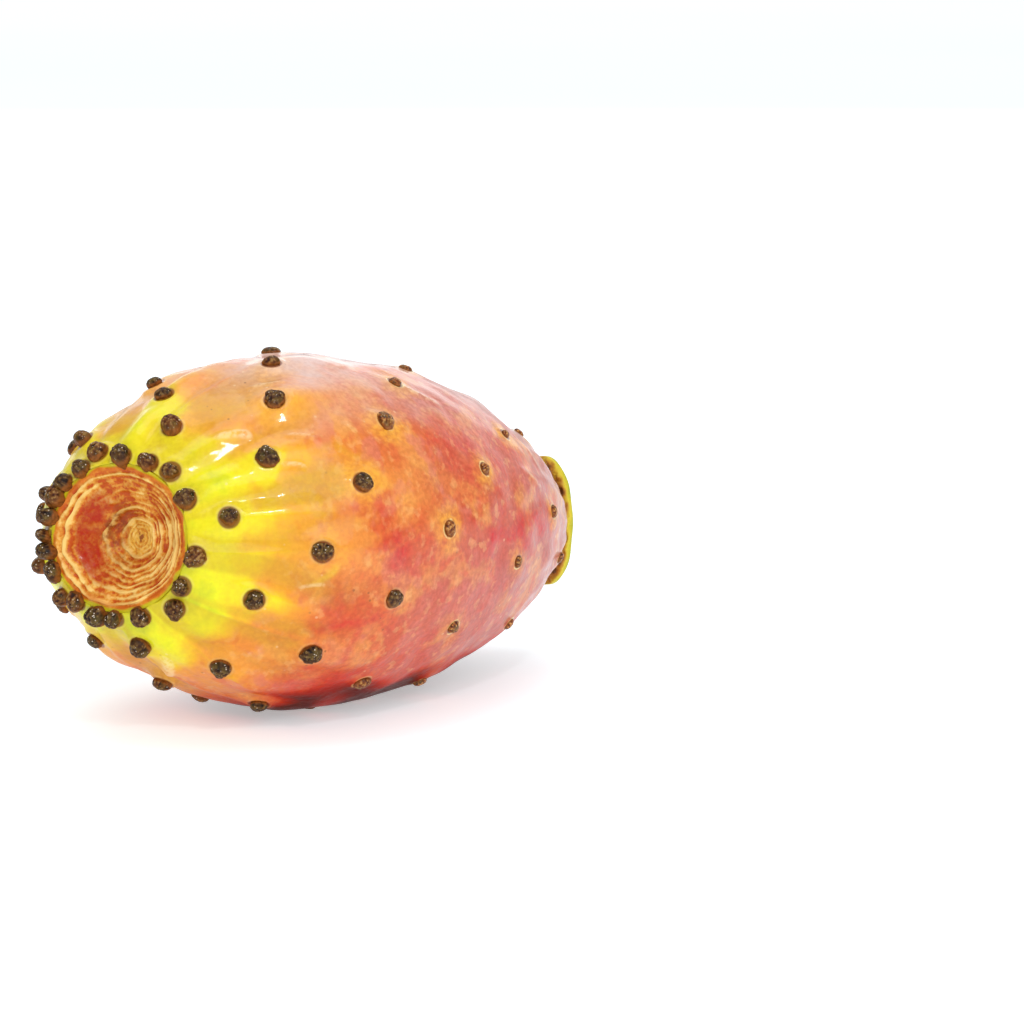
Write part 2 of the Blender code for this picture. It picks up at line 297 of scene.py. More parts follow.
def waves(points, length, seed):
    """Smooth noise of about unit strength: a sum of plane waves in seeded directions, all of one length."""
    draw = np.random.default_rng(seed)
    directions = unit(draw.normal(size=(WAVE_COUNT, 3))) * (2 * math.pi / length)
    phases = draw.uniform(0, 2 * math.pi, WAVE_COUNT)
    total = np.zeros(points.shape[:-1])
    for direction, phase in zip(directions, phases):
        total += np.cos(points @ direction + phase)
    return total * math.sqrt(2 / WAVE_COUNT)


# %% [markdown]
# ## Recipes for finishes
# A finish is a small graph of shader nodes. These helpers keep each graph readable: a mark reads one of the
# numbers that a piece carries, speckle and cells make fine patterns in the object's own space, a window turns
# a stretch of one number into a share, and a ramp or a wash turns a number into colour.

# %% Finish helpers


class Finish:
    """A material with a Principled shader, and short calls that add its nodes."""

    def __init__(self, name, roughness, specular=0.5, coat=0.0, coat_roughness=0.1):
        self.material = bpy.data.materials.new(name)
        self.material.use_nodes = True
        self.tree = self.material.node_tree
        self.shader = self.tree.nodes["Principled BSDF"]
        self.shader.inputs["Roughness"].default_value = roughness
        self.shader.inputs["Specular IOR Level"].default_value = specular
        self.shader.inputs["Coat Weight"].default_value = coat
        self.shader.inputs["Coat Roughness"].default_value = coat_roughness
        self.place = self.tree.nodes.new("ShaderNodeTexCoord").outputs["Object"]

    def join(self, socket, value):
        """Links an output to the socket, or sets a plain number or colour on it."""
        if isinstance(value, bpy.types.NodeSocket):
            self.tree.links.new(value, socket)
        elif isinstance(value, tuple):
            socket.default_value = (*value, 1)
        else:
            socket.default_value = value

    def mark(self, name):
        """The number that the mesh carries under this name."""
        node = self.tree.nodes.new("ShaderNodeAttribute")
        node.attribute_name = name
        return node.outputs["Fac"]

    def speckle(self, size, detail=3.0, stretch=(1, 1, 1)):
        """Noise whose patches are about this many metres across, drawn out where a stretch is below 1."""
        node = self.tree.nodes.new("ShaderNodeTexNoise")
        self.join(node.inputs["Vector"], self.stretched(stretch))
        node.inputs["Scale"].default_value = 1 / size
        node.inputs["Detail"].default_value = detail
        return node.outputs["Fac"]

    def cells(self, size):
        """Distance from the nearest of many scattered points, this many metres apart."""
        node = self.tree.nodes.new("ShaderNodeTexVoronoi")
        self.join(node.inputs["Vector"], self.place)
        node.inputs["Scale"].default_value = 1 / size
        return node.outputs["Distance"]

    def stretched(self, stretch):
        """The object's own space, scaled along its axes."""
        if stretch == (1, 1, 1):
            return self.place
        node = self.tree.nodes.new("ShaderNodeMapping")
        self.join(node.inputs["Vector"], self.place)
        node.inputs["Scale"].default_value = stretch
        return node.outputs["Vector"]

    def ramp(self, value, stops):
        """A colour read off a row of stops, each a place from 0 to 1 and a colour."""
        node = self.tree.nodes.new("ShaderNodeValToRGB")
        row = node.color_ramp.elements
        while len(row) < len(stops):
            row.new(0.5)
        for element, (place, colour) in zip(row, stops):
            element.position = place
            element.color = (*colour, 1)
        self.join(node.inputs["Fac"], value)
        return node.outputs["Color"]

    def window(self, value, low, high, start=0.0, end=1.0):
        """The value between low and high, spread smoothly over start to end."""
        node = self.tree.nodes.new("ShaderNodeMapRange")
        node.interpolation_type = "SMOOTHSTEP"
        self.join(node.inputs["Value"], value)
        for socket, number in (("From Min", low), ("From Max", high), ("To Min", start), ("To Max", end)):
            node.inputs[socket].default_value = number
        return node.outputs["Result"]

    def sum_up(self, operation, first, second):
        """Add, multiply or another sum of two values."""
        node = self.tree.nodes.new("ShaderNodeMath")
        node.operation = operation
        self.join(node.inputs[0], first)
        self.join(node.inputs[1], second)
        return node.outputs["Value"]

    def times(self, first, *more):
        """The product of two or more values."""
        for value in more:
            first = self.sum_up("MULTIPLY", first, value)
        return first

    def wash(self, share, under, over, how="MIX"):
        """A second colour laid over the first by a share from 0 to 1."""
        node = self.tree.nodes.new("ShaderNodeMix")
        node.data_type = "RGBA"
        node.blend_type = how
        self.join(node.inputs["Factor"], share)
        colours = [socket for socket in node.inputs if socket.type == "RGBA"]
        self.join(colours[0], under)
        self.join(colours[1], over)
        return next(socket for socket in node.outputs if socket.type == "RGBA")

    def bump(self, height, depth, under=None):
        """A normal that makes a height from 0 to 1 read as this many metres of relief."""
        node = self.tree.nodes.new("ShaderNodeBump")
        node.inputs["Distance"].default_value = depth
        self.join(node.inputs["Height"], height)
        if under is not None:
            self.join(node.inputs["Normal"], under)
        return node.outputs["Normal"]

    def done(self, colour, normal=None, roughness=None):
        """Joins the colour, and what else is given, to the shader."""
        self.join(self.shader.inputs["Base Color"], colour)
        if normal is not None:
            self.join(self.shader.inputs["Normal"], normal)
        if roughness is not None:
            self.join(self.shader.inputs["Roughness"], roughness)
        print("finish", self.material.name, "with", len(self.tree.nodes), "nodes")
        return self.material


def screen(red, green, blue):
    """Linear colour from the 0 to 255 numbers of a screen: the sRGB curve taken back."""
    share = np.array([red, green, blue]) / 255
    linear = np.where(share <= 0.04045, share / 12.92, ((share + 0.055) / 1.055) ** 2.4)
    return tuple(float(c) for c in linear)


# %% [markdown]
# ## Where the skin changes
# A prickly pear ripens from its stem end to its blossom end, so the skin is still lemon yellow round the
# scar, orange a third of the way down, and coral and pink after that. Warm yellow rings lie round the areoles,
# red blushes where the sun fell, and a pale wax bloom lies on the upper side, with a painted sheen of light
# over it. Painted shade darkens the valleys between the ribs and the underside.
# A painted image could say all this for one view only. Here each is a number at every point, worked out from
# the station, the angle and smooth noise, and so it goes on round the back.

# %% Patches of colour
AREOLE_RADIUS = (0.94 + 0.52 * AREOLE_NEARNESS) * MM
PATCH_RAGGEDNESS = 1.3 * MM
PATCH_WAVE_ASIDE = 5.0 * MM
PATCH_WAVE_ONWARD = 6.0 * MM
BLUSHES = (  # share of the axis length, angle in degrees, half length and half width in mm, strength
    (0.68, 150, 11.0, 6.5, 0.72),
    (0.745, 121, 7.5, 5.5, 0.78),
    (0.60, 136, 9.0, 4.0, 0.36),
    (0.39, 92, 8.0, 2.6, 0.95),
    (0.30, 88, 5.0, 2.2, 0.95),
    (0.67, 96, 4.0, 3.4, 0.80),
    (0.56, 99, 3.0, 1.6, 0.5),
    (0.47, 62, 9.0, 4.5, 0.48),
    (0.73, 82, 5.5, 2.2, 0.42),
    (0.24, 84, 5.0, 2.0, 0.6),
    (0.45, 108, 6.0, 3.0, 0.22),
    (0.50, -150, 16.0, 11.0, 0.8),
    (0.62, -60, 9.0, 6.0, 0.5),
    (0.40, -100, 8.0, 5.0, 0.6),
    (0.28, 150, 8.0, 6.0, 0.5),
)
GOLD_PATCHES = (
    (0.822, 105, 2.2, 1.4, 0.7),
    (0.80, 62, 8.0, 2.4, 0.30),
    (0.87, 72, 8.0, 3.2, 0.45),
    (0.84, -75, 8.0, 4.0, 0.5),
)
AMBER_PATCHES = (
    (0.74, 34, 14.0, 8.0, 0.75),
    (0.63, 76, 6.0, 5.0, 0.6),
    (0.76, 97, 6.0, 4.5, 0.55),
    (0.74, 134, 5.0, 2.6, 0.55),
    (0.55, 74, 5.0, 4.0, 0.35),
    (0.70, -120, 12.0, 8.0, 0.6),
    (0.55, -40, 9.0, 7.0, 0.5),
)
ROSE_PATCHES = (
    (0.54, 113, 9.0, 7.0, 0.75),
    (0.41, 122, 10.0, 7.0, 0.8),
    (0.36, 106, 7.0, 5.0, 0.6),
    (0.50, 44, 10.0, 4.0, 0.5),
    (0.24, 120, 8.0, 7.0, 0.6),
    (0.93, -160, 4.5, 8.0, 0.8),
    (0.45, -80, 12.0, 9.0, 0.7),
    (0.30, -140, 9.0, 8.0, 0.6),
)


def patches(station, angle, points, table):
    """The strongest of several ragged ovals: a flat-topped bell of the distance, which noise has shifted."""
    radius = barrel_radius(station)
    aside = PATCH_RAGGEDNESS * waves(points, PATCH_WAVE_ASIDE, 15)
    onward = PATCH_RAGGEDNESS * waves(points, PATCH_WAVE_ONWARD, 16)
    best = np.zeros(np.broadcast(station, angle).shape)
    for share, degrees, half_length, half_width, strength in table:
        along = (station + onward - share * AXIS_LENGTH) / (half_length * MM)
        around = (radius * wrapped(angle - math.radians(degrees)) + aside) / (half_width * MM)
        best = np.maximum(best, strength * np.exp(-((along**2 + around**2) ** 1.5)))
    return best


print("blushes:", len(BLUSHES), "gold patches:", len(GOLD_PATCHES))

# %% Puckers and creases
PUCKER_DEPTH = 0.38 * MM
PUCKER_STRETCH = 0.16
PUCKER_RADIUS = 18 * MM
PUCKER_SOFT_WAVE = 7.5 * MM
PUCKER_SHARP_WAVE = 11 * MM
CREASE_TALL = 0.4 * MM
CREASE_BOW = 0.5 * MM
CREASE_FADE = 0.3
CREASES = (  # from share and degrees, to share and degrees, height and half width in mm
    (0.945, 36, 0.885, 47, 0.40, 0.75),
    (0.58, 33, 0.47, 46, 0.34, 0.70),
    (0.29, 42, 0.22, 66, 0.30, 0.60),
    (0.33, 66, 0.25, 76, 0.22, 0.55),
    (0.83, 22, 0.76, 30, 0.28, 0.55),
    (0.90, 61, 0.83, 66, 0.28, 0.45),
    (0.86, 49, 0.79, 58, 0.26, 0.45),
    (0.70, 48, 0.61, 53, 0.18, 0.50),
    (0.88, 112, 0.80, 108, 0.26, 0.45),
    (0.66, 28, 0.60, 22, 0.20, 0.50),
    (0.955, 170, 0.885, 186, 0.45, 0.80),
    (0.93, -130, 0.86, -112, 0.40, 0.80),
    (0.36, -60, 0.24, -72, 0.30, 0.60),
)


def puckers(station, angle):
    """Lengthwise wrinkles: noise on a cylinder whose length is shrunk, which draws it out along the fruit."""
    across, aside = PUCKER_RADIUS * np.cos(angle), PUCKER_RADIUS * np.sin(angle)
    round_it = np.stack([PUCKER_STRETCH * station, across, aside], -1)
    soft = waves(round_it, PUCKER_SOFT_WAVE, 24)
    sharp = 1 - np.abs(waves(round_it, PUCKER_SHARP_WAVE, 25))
    return PUCKER_DEPTH * (0.6 * soft + 0.8 * np.clip(sharp, 0, 1) ** 3)


def crease_relief(station, angle):
    """Raised creases: each a bell across a slightly bowed run on the unrolled skin, fading at its two ends."""
    height = np.zeros(np.broadcast(station, angle).shape)
    for share_a, degrees_a, share_b, degrees_b, tall, half_width in CREASES:
        radius = float(barrel_radius(np.array((share_a + share_b) / 2 * AXIS_LENGTH)))
        run = np.array([(share_b - share_a) * AXIS_LENGTH, radius * math.radians(degrees_b - degrees_a)])
        along = station - share_a * AXIS_LENGTH
        around = radius * wrapped(angle - math.radians(degrees_a))
        progress = (along * run[0] + around * run[1]) / (run @ run)
        across = (along * run[1] - around * run[0]) / math.sqrt(run @ run)
        across = across + CREASE_BOW * np.sin(math.pi * np.clip(progress, 0, 1))
        fade = smooth_step(progress / CREASE_FADE) * smooth_step((1 - progress) / CREASE_FADE)
        height += tall * MM * fade * np.exp(-((across / (half_width * MM)) ** 2))
    return height


print("creases:", len(CREASES))

# %% Marks of the skin
FRONT_MIDDLE = math.radians(75)
FRONT_HALF_WIDTH = math.radians(48)
BROAD_WAVE = 26 * MM
MIDDLING_WAVE = 9 * MM
FINE_WAVE = 4 * MM
FARTHEST_AWAY = 5.0


def areole_distance(points):
    """For every point, how many of the nearest areole's radii it is away, and that areole's nearness."""
    flat = points.reshape(-1, 3)
    best = np.full(len(flat), np.inf)
    rank = np.zeros(len(flat))
    for foot, radius, nearness in zip(AREOLE_FOOT, AREOLE_RADIUS, AREOLE_NEARNESS):
        away = np.linalg.norm(flat - foot, axis=1) / radius
        rank = np.where(away < best, nearness, rank)
        best = np.minimum(best, away)
    return best.reshape(points.shape[:-1]), rank.reshape(points.shape[:-1])


def after(value, start, reach):
    """From 0 where the value is at the start to 1 where it is a reach beyond it."""
    return smooth_step((value - start) / reach)


def before(value, end, reach):
    """From 1 where the value is a reach short of the end to 0 where it is at the end."""
    return smooth_step((end - value) / reach)


def bloom_and_sheen_mark(share, angle, up, broad, middling, fine):
    """Wax bloom with a painted sheen of light: on what faces up, further down the sides near the stem, and a
    thick stripe along the top of the fruit that is a painted reflection.
    """
    # Skin that faces up is paled: partly the wax bloom, partly a painted sheen of the light from above.
    bloom_and_sheen = after(up, 0.60, 0.38) + 0.55 * before(share, 0.62, 0.5) * after(up, 0.1, 0.7)
    bloom_and_sheen = 0.8 * bloom_and_sheen * (0.8 + 0.25 * broad + 0.15 * middling) * before(share, 0.95, 0.3)
    # The stripe along the top edge is a painted reflection of the light behind the fruit.
    crown_sheen = np.cos(angle) - 0.89 + 0.035 * middling + 0.025 * fine
    return bloom_and_sheen + 0.5 * after(crown_sheen, 0, 0.10) * before(share, 0.85, 0.2)


def skin_marks(station, angle, points, normals):
    """Ripeness from 0 at the rim to 1 at the stem end, and the other marks, at each point of the skin.

    Noise holds the ripening back a little, and the lower side is ahead of the upper one. Rib and pucker crests
    are held back too and their valleys pushed on, which paints the crests lighter and the valleys darker:
    painted light and shade that follow the relief. The valley_shade mark is painted shade in those valleys
    near the rim.
    """
    share = station / AXIS_LENGTH
    broad = waves(points, BROAD_WAVE, 11)
    middling = waves(points, MIDDLING_WAVE, 12)
    fine = waves(points, FINE_WAVE, 13)
    rib = np.clip((rib_relief(station, angle) + RIB_SETTLE) / RIB_HEIGHT, 0, 1)
    front = np.exp(-((wrapped(angle - FRONT_MIDDLE) / FRONT_HALF_WIDTH) ** 2))
    near_rim = after(share, 0.66, 0.16)
    streaks = puckers(station, angle) / PUCKER_DEPTH
    lower = before(np.cos(angle), 0.22, 0.62)
    # The rib and streak terms make crests less ripe and valleys riper: painted light on the crests, painted
    # shade in the valleys.
    unripe = 0.008 * front + 0.010 * broad + 0.018 * middling + 0.008 * fine + 0.05 * (rib - 0.6)
    unripe = unripe + 0.040 * near_rim * (streaks - 0.5) - (0.03 + 0.35 * (1 - share)) * lower
    away, nearness = areole_distance(points)
    up = normals[..., 2]
    # Where the skin faces down: it reddens, and the darkening to maroon further down is painted shade.
    underside = before(up, -0.60, 0.34) * (1 - 0.8 * after(share, 0.68, 0.16))
    shares = {
        "amber": patches(station, angle, points, AMBER_PATCHES),
        "rose": patches(station, angle, points, ROSE_PATCHES),
        "gold": patches(station, angle, points, GOLD_PATCHES),
        "blush": patches(station, angle, points, BLUSHES) * (1 + 0.2 * fine),
        # Painted shade in the rib and pucker valleys near the rim.
        "valley_shade": near_rim * (before(streaks, 0.35, 0.8) + 0.6 * before(rib, 0.45, 0.45)),
        "ripeness": 1 - share - unripe * before(share, 1, 0.12),
        "nearness": nearness,
        "bloom_and_sheen": bloom_and_sheen_mark(share, angle, up, broad, middling, fine),
        "halo": 1 - 0.75 * lower,
        # Painted highlight along the crests of the raised creases.
        "crease_highlight": crease_relief(station, angle) / CREASE_TALL,
        "underside": underside * (1 + 0.15 * middling),
    }
    marks = {name: np.clip(values, 0, 1) for name, values in shares.items()}
    return marks | {"away": np.minimum(away, FARTHEST_AWAY)}


# %% [markdown]
# ## The skin's finish
# The skin is smooth and waxy, so it has a clear coat over a slightly rough base, less of it on the underside
# and more on the bloom. Its colour starts from the ripeness, read off a row of colours, with painted light
# on the rib crests and painted shade in their valleys. Clouds, patches, yellow rings, red blushes, the
# underside darkened to maroon as painted shade, and the bloom with a painted sheen are washed over that.
# A grain a fraction of a millimetre across breaks it up, as pores do on the real fruit, flecks are its small
# scars, and pale cream on the crests of the creases is a painted highlight.

# %% Skin finish
RIPENING = (
    (0.00, screen(206, 210, 8)),
    (0.03, screen(240, 234, 4)),
    (0.065, screen(246, 222, 6)),
    (0.10, screen(244, 188, 20)),
    (0.15, screen(242, 156, 34)),
    (0.24, screen(236, 134, 46)),
    (0.36, screen(226, 110, 52)),
    (0.50, screen(214, 96, 56)),
    (0.66, screen(208, 94, 68)),
    (0.88, screen(196, 92, 78)),
)
TURNED_TINTS = (  # size of the clouds in mm, noise where they begin, strongest share, colour
    (6.3, 0.50, 0.45, screen(250, 180, 84)),
    (4.6, 0.52, 0.50, screen(224, 124, 106)),
    (3.1, 0.54, 0.50, screen(218, 66, 36)),
    (1.7, 0.55, 0.35, screen(250, 190, 120)),
)
CLOUD_EDGE = 0.12
WHITE = screen(255, 255, 255)
AMBER = screen(244, 166, 78)
ROSE = screen(208, 108, 94)
# Ochre used as painted shade in the valleys between ribs and puckers.
VALLEY_SHADE_OCHRE = screen(204, 158, 8)
VALLEY_SHADE_SHARE = 0.52
BLUSH_RED = screen(212, 28, 26)
HALO_GOLD = screen(250, 180, 56)
HALO_LEMON = screen(242, 220, 20)
RING_CREAM = screen(250, 222, 150)
# Brown of the areole's foot: partly stain, partly painted shade.
FOOT_STAIN_AND_SHADE_BROWN = screen(128, 56, 18)
# Pale lavender: partly wax bloom, partly painted sheen of reflected light.
BLOOM_AND_SHEEN_PALE = screen(222, 198, 196)
UNDERSIDE_RED = screen(206, 44, 22)
# Maroon used as painted shade on the downward-facing skin.
UNDERSIDE_SHADE_MAROON = screen(80, 6, 3)
MOTTLE_GREY = screen(228, 212, 206)
SCAR_FLECK = screen(120, 70, 34)
PALE_FLECK = screen(250, 226, 176)
# Cream used as a painted highlight on the crease crests.
CREASE_HIGHLIGHT_CREAM = screen(252, 234, 190)
PATCH_TINTS = (("amber", 0.75, AMBER), ("rose", 0.7, ROSE), ("gold", 0.8, HALO_LEMON))
PORE_DEPTH = 0.05 * MM
DIMPLE_DEPTH = 0.16 * MM


def ripened(skin, ripe, patchy):
    """The ripening colours, with clouds where the skin has turned, then the patches, and painted shade in the
    rib and pucker valleys.
    """
    colour = skin.ramp(ripe, RIPENING)
    turned = skin.window(ripe, 0.10, 0.22)
    for size, low, share, tint in TURNED_TINTS:
        cloud = skin.window(skin.speckle(size * MM, detail=3), low, low + CLOUD_EDGE, 0.0, share)
        colour = skin.wash(skin.times(cloud, turned), colour, tint)
    for mark, share, tint in PATCH_TINTS:
        broken = skin.times(skin.mark(mark), skin.window(patchy, 0.3, 0.7, 0.5 * share, share))
        colour = skin.wash(broken, colour, tint)
    # Painted shade: the valleys between ribs and puckers are darkened to ochre.
    return skin.wash(skin.times(skin.mark("valley_shade"), VALLEY_SHADE_SHARE), colour, VALLEY_SHADE_OCHRE)


def haloed(skin, colour, ripe, away, patchy, grain):
    """A ragged lemon or gold halo round each areole."""
    halo_colour = skin.wash(skin.window(ripe, 0.07, 0.13), HALO_LEMON, HALO_GOLD)
    reach = skin.sum_up("ADD", away, skin.window(patchy, 0.3, 0.7, -0.5, 0.5))
    halo = skin.times(skin.window(reach, 1.2, 3.8, 0.85, 0.0), skin.window(grain, 0.25, 0.75, 0.6, 1.0))
    return skin.wash(skin.times(halo, skin.mark("halo")), colour, halo_colour)


def blushed(skin, colour, patchy):
    """Red blushes, then the underside from the skin's own red to maroon, the maroon being painted shade, and
    the pale bloom with its painted sheen over both.
    """
    blush = skin.times(skin.mark("blush"), skin.window(patchy, 0.30, 0.70, 0.55, 1.0))
    colour = skin.wash(blush, colour, BLUSH_RED)
    # Painted shade: downward-facing skin goes from red to maroon.
    underside = skin.mark("underside")
    red_then_shade = skin.ramp(underside, ((0.35, UNDERSIDE_RED), (0.90, UNDERSIDE_SHADE_MAROON)))
    colour = skin.wash(skin.window(underside, 0.0, 0.6, 0.0, 0.95), colour, red_then_shade)
    # Pale wash on the upper side: partly wax bloom, partly painted sheen and painted reflection.
    bloom_and_sheen = skin.times(skin.mark("bloom_and_sheen"), skin.window(patchy, 0.2, 0.8, 0.55, 0.80))
    return skin.wash(bloom_and_sheen, colour, BLOOM_AND_SHEEN_PALE)


def ringed(skin, colour, away, patchy):
    """A broken cream ring just outside each areole, and a brown foot against it, partly brown stain and partly
    painted shade where the areole meets the skin.
    """
    ring = skin.times(skin.window(away, 1.00, 1.08), skin.window(away, 1.20, 1.42, 1.0, 0.0))
    ring = skin.times(ring, skin.window(skin.mark("nearness"), 0.3, 0.8, 1.0, 0.2))
    ring = skin.times(ring, skin.window(patchy, 0.42, 0.56, 0.1, 0.9))
    colour = skin.wash(ring, colour, RING_CREAM)
    # Brown foot: partly stain, partly painted shade in the crease round the areole.
    return skin.wash(skin.window(away, 0.98, 1.20, 0.85, 0.0), colour, FOOT_STAIN_AND_SHADE_BROWN)


def flecked(skin, colour, ripe, grain):
    """Fine mottling, brown flecks in some places, pale flecks all over, and pale cream along the crests of the
    creases, a painted highlight.
    """
    mottle = skin.wash(skin.window(grain, 0.32, 0.68), MOTTLE_GREY, WHITE)
    colour = skin.wash(skin.window(ripe, 0.08, 0.5, 0.2, 0.75), colour, mottle, "MULTIPLY")
    where_flecked = skin.window(skin.speckle(14 * MM, detail=2), 0.50, 0.66)
    dark = skin.window(skin.cells(2.3 * MM), 0.05, 0.11, 0.55, 0.0)
    colour = skin.wash(skin.times(dark, where_flecked), colour, SCAR_FLECK)
    pale = skin.window(skin.cells(3.7 * MM), 0.03, 0.08, 0.3, 0.0)
    colour = skin.wash(pale, colour, PALE_FLECK)
    # Painted highlight: pale cream laid along the crest of each raised crease.
    crease_highlight = skin.times(skin.window(skin.mark("crease_highlight"), 0.25, 0.8), skin.window(grain, 0.3, 0.6, 0.05, 0.40))
    return skin.wash(crease_highlight, colour, CREASE_HIGHLIGHT_CREAM)


def skin_finish():
    """Ripeness gives the colour, and each wash goes over the last. Marks set the gloss, grain the pores."""
    skin = Finish("waxy_skin", roughness=0.34, coat_roughness=0.07)
    cloudy = skin.window(skin.speckle(5.5 * MM, detail=4), 0.30, 0.70, -0.03, 0.03)
    grain = skin.speckle(0.7 * MM, detail=2)
    patchy = skin.speckle(1.9 * MM, detail=3)
    away = skin.mark("away")
    ripe = skin.sum_up("ADD", skin.mark("ripeness"), cloudy)
    colour = ripened(skin, ripe, patchy)
    colour = haloed(skin, colour, ripe, away, patchy, grain)
    colour = blushed(skin, colour, patchy)
    colour = ringed(skin, colour, away, patchy)
    colour = flecked(skin, colour, ripe, grain)
    above = skin.window(skin.mark("underside"), 0.0, 0.5, 0.32, 0.0)
    waxed = skin.window(skin.mark("bloom_and_sheen"), 0.3, 1.0, 0.0, 0.35)
    shine = skin.window(skin.mark("underside"), 0.0, 0.5, 0.24, 0.03)
    skin.join(skin.shader.inputs["Coat Weight"], skin.sum_up("ADD", above, waxed))
    skin.join(skin.shader.inputs["Specular IOR Level"], shine)
    pores = skin.bump(grain, PORE_DEPTH)
    dimples = skin.bump(skin.speckle(2.4 * MM, detail=2), DIMPLE_DEPTH, pores)
    return skin.done(colour, dimples, skin.window(grain, 0.3, 0.7, 0.30, 0.42))


# %% [markdown]
# ## The skin
# The solid already has the barrel and its ribs in coarse faces. This mesh repeats them with a ring every half
# millimetre and adds what is too fine for the solid: shallow dents, lengthwise folds where the skin draws in
# to the stem, and a few raised creases. It turns in under the scar and closes there as one closed shell.

# %% Skin mesh
SKIN_SIDES = 384
BUTTON_ROWS = 6
BARREL_ROWS = 236
TUCK_ROWS = 8
ROWS_CROWD = 1.35
DENT_DEPTH = 0.13 * MM
FOLD_DEPTH = 0.17 * MM
FOLDS_ROUND = 21
FOLD_WAVE = 22 * MM
DENT_BROAD_WAVE = 11 * MM
DENT_FINE_WAVE = 4.5 * MM
SWELL_HEIGHT = 0.16 * MM
SWELL_AWAY = 1.3
SWELL_HALF_WIDTH = 0.32


def fine_relief(station, angle):
    """Dents from two lengths of noise, folds, puckers, creases, and a ring of swell round each areole."""
    share = station / AXIS_LENGTH
    points = skin_point(station, angle)
    dents = DENT_DEPTH * (0.7 * waves(points, DENT_BROAD_WAVE, 21) + 0.3 * waves(points, DENT_FINE_WAVE, 22))
    warp = 0.8 * waves(points, FOLD_WAVE, 23)
    near_stem = before(share, 0.42, 0.25) * after(share, 0.05, 0.05)
    folds = FOLD_DEPTH * near_stem * np.sin(FOLDS_ROUND * angle + warp)
    near_rim = after(share, 0.70, 0.14)
    away, nearness = areole_distance(points)
    swell = SWELL_HEIGHT * (0.5 + 0.5 * nearness) * np.exp(-(((away - SWELL_AWAY) / SWELL_HALF_WIDTH) ** 2))
    relief = dents + folds + near_rim * puckers(station, angle) + crease_relief(station, angle)
    return (relief * after(away, 0.8, 1.0) + swell) * before(share, 1, 0.03)


def on_the_table(points):
    """The points, with any below the surface that the fruit lies on brought up to it."""
    return np.concatenate([points[..., :2], np.maximum(points[..., 2:], 0)], axis=-1)


def skin_grid():
    """Station and angle of every ring point of the barrel, with its rings closer together towards the rim."""
    angle = np.arange(SKIN_SIDES) * 2 * math.pi / SKIN_SIDES
    start = STEM_END_STATION + STEM_END_ROUNDING
    share = 1 - (1 - np.arange(1, BARREL_ROWS + 1) / BARREL_ROWS) ** ROWS_CROWD
    return np.meshgrid(start + (AXIS_LENGTH - start) * share, angle, indexing="ij")


def button_rings(angle):
    """The rounded button that closes the stem end: a quarter circle turned about the axis."""
    bend = np.arange(1, BUTTON_ROWS + 1)[:, None] / BUTTON_ROWS * math.pi / 2
    station = STEM_END_STATION + STEM_END_ROUNDING * (1 - np.cos(bend)) + 0 * angle
    radius = np.sin(bend) * barrel_radius(np.array(STEM_END_STATION + STEM_END_ROUNDING)) + 0 * angle
    return placed(station, radius, angle + 0 * bend), station


# %% [markdown]
# ## The flower scar
# Where the flower broke off, the end of the fruit is a shallow dish of tan cork with rings like those of a cut
# branch, a red-orange wall on the far side, and a small flat disc in the middle. A Screw modifier could turn
# a profile, but the real rings waver, so the dish is a grid in which the radius is warped before the ring
# profile is read.

# %% Shape of the scar
SCAR_DEPTH = 4.1 * MM
SCAR_FLOOR_RADIUS = 2.95 * MM
SCAR_EDGE_RADIUS = 9.7 * MM
SCAR_HOLLOW = 1.25
SCAR_THICKNESS = 0.5 * MM
SCAR_SIDES = 320
SCAR_ROWS = 150
LEAN_FROM = 2.4 * MM
LEAN_REACH = 3.2 * MM
FAR_WALL = math.radians(-88)
FAR_WALL_HALF = math.radians(62)
UPPER_WALL = math.radians(12)
UPPER_WALL_HALF = math.radians(48)
WALL_FROM = 5.0 * MM
WALL_TO = 8.2 * MM
RINGS = (  # radius, half width and height in mm, and the shares that stay on the far wall and the upper wall
    (1.00, 0.13, 0.08, 1.0, 1.0),
    (1.60, 0.13, 0.11, 1.0, 1.0),
    (2.15, 0.12, 0.09, 1.0, 1.0),
    (2.85, 0.22, 0.38, 1.0, 0.9),
    (3.70, 0.14, 0.20, 0.5, 0.7),
    (4.40, 0.24, 0.42, 1.0, 0.7),
    (5.15, 0.16, 0.20, 0.2, 0.5),
    (5.90, 0.26, 0.42, 0.1, 0.35),
    (6.75, 0.18, 0.26, 0.1, 0.5),
    (7.50, 0.24, 0.40, 0.3, 0.25),
    (8.35, 0.20, 0.42, 1.0, 0.3),
    (9.10, 0.20, 0.38, 1.0, 0.6),
)


def beside(angle, middle, half_width):
    """From 0 to 1, how near an angle is to the middle of a wall: a flat-topped bell."""
    return np.exp(-((wrapped(angle - middle) / half_width) ** 4))


def far_wall(radius, angle):
    """From 0 to 1, how far a place lies on the smooth wall of the scar's far side."""
    on_wall = after(radius, WALL_FROM, 0.9 * MM) * before(radius, WALL_TO, 0.7 * MM)
    return beside(angle, FAR_WALL, FAR_WALL_HALF) * on_wall


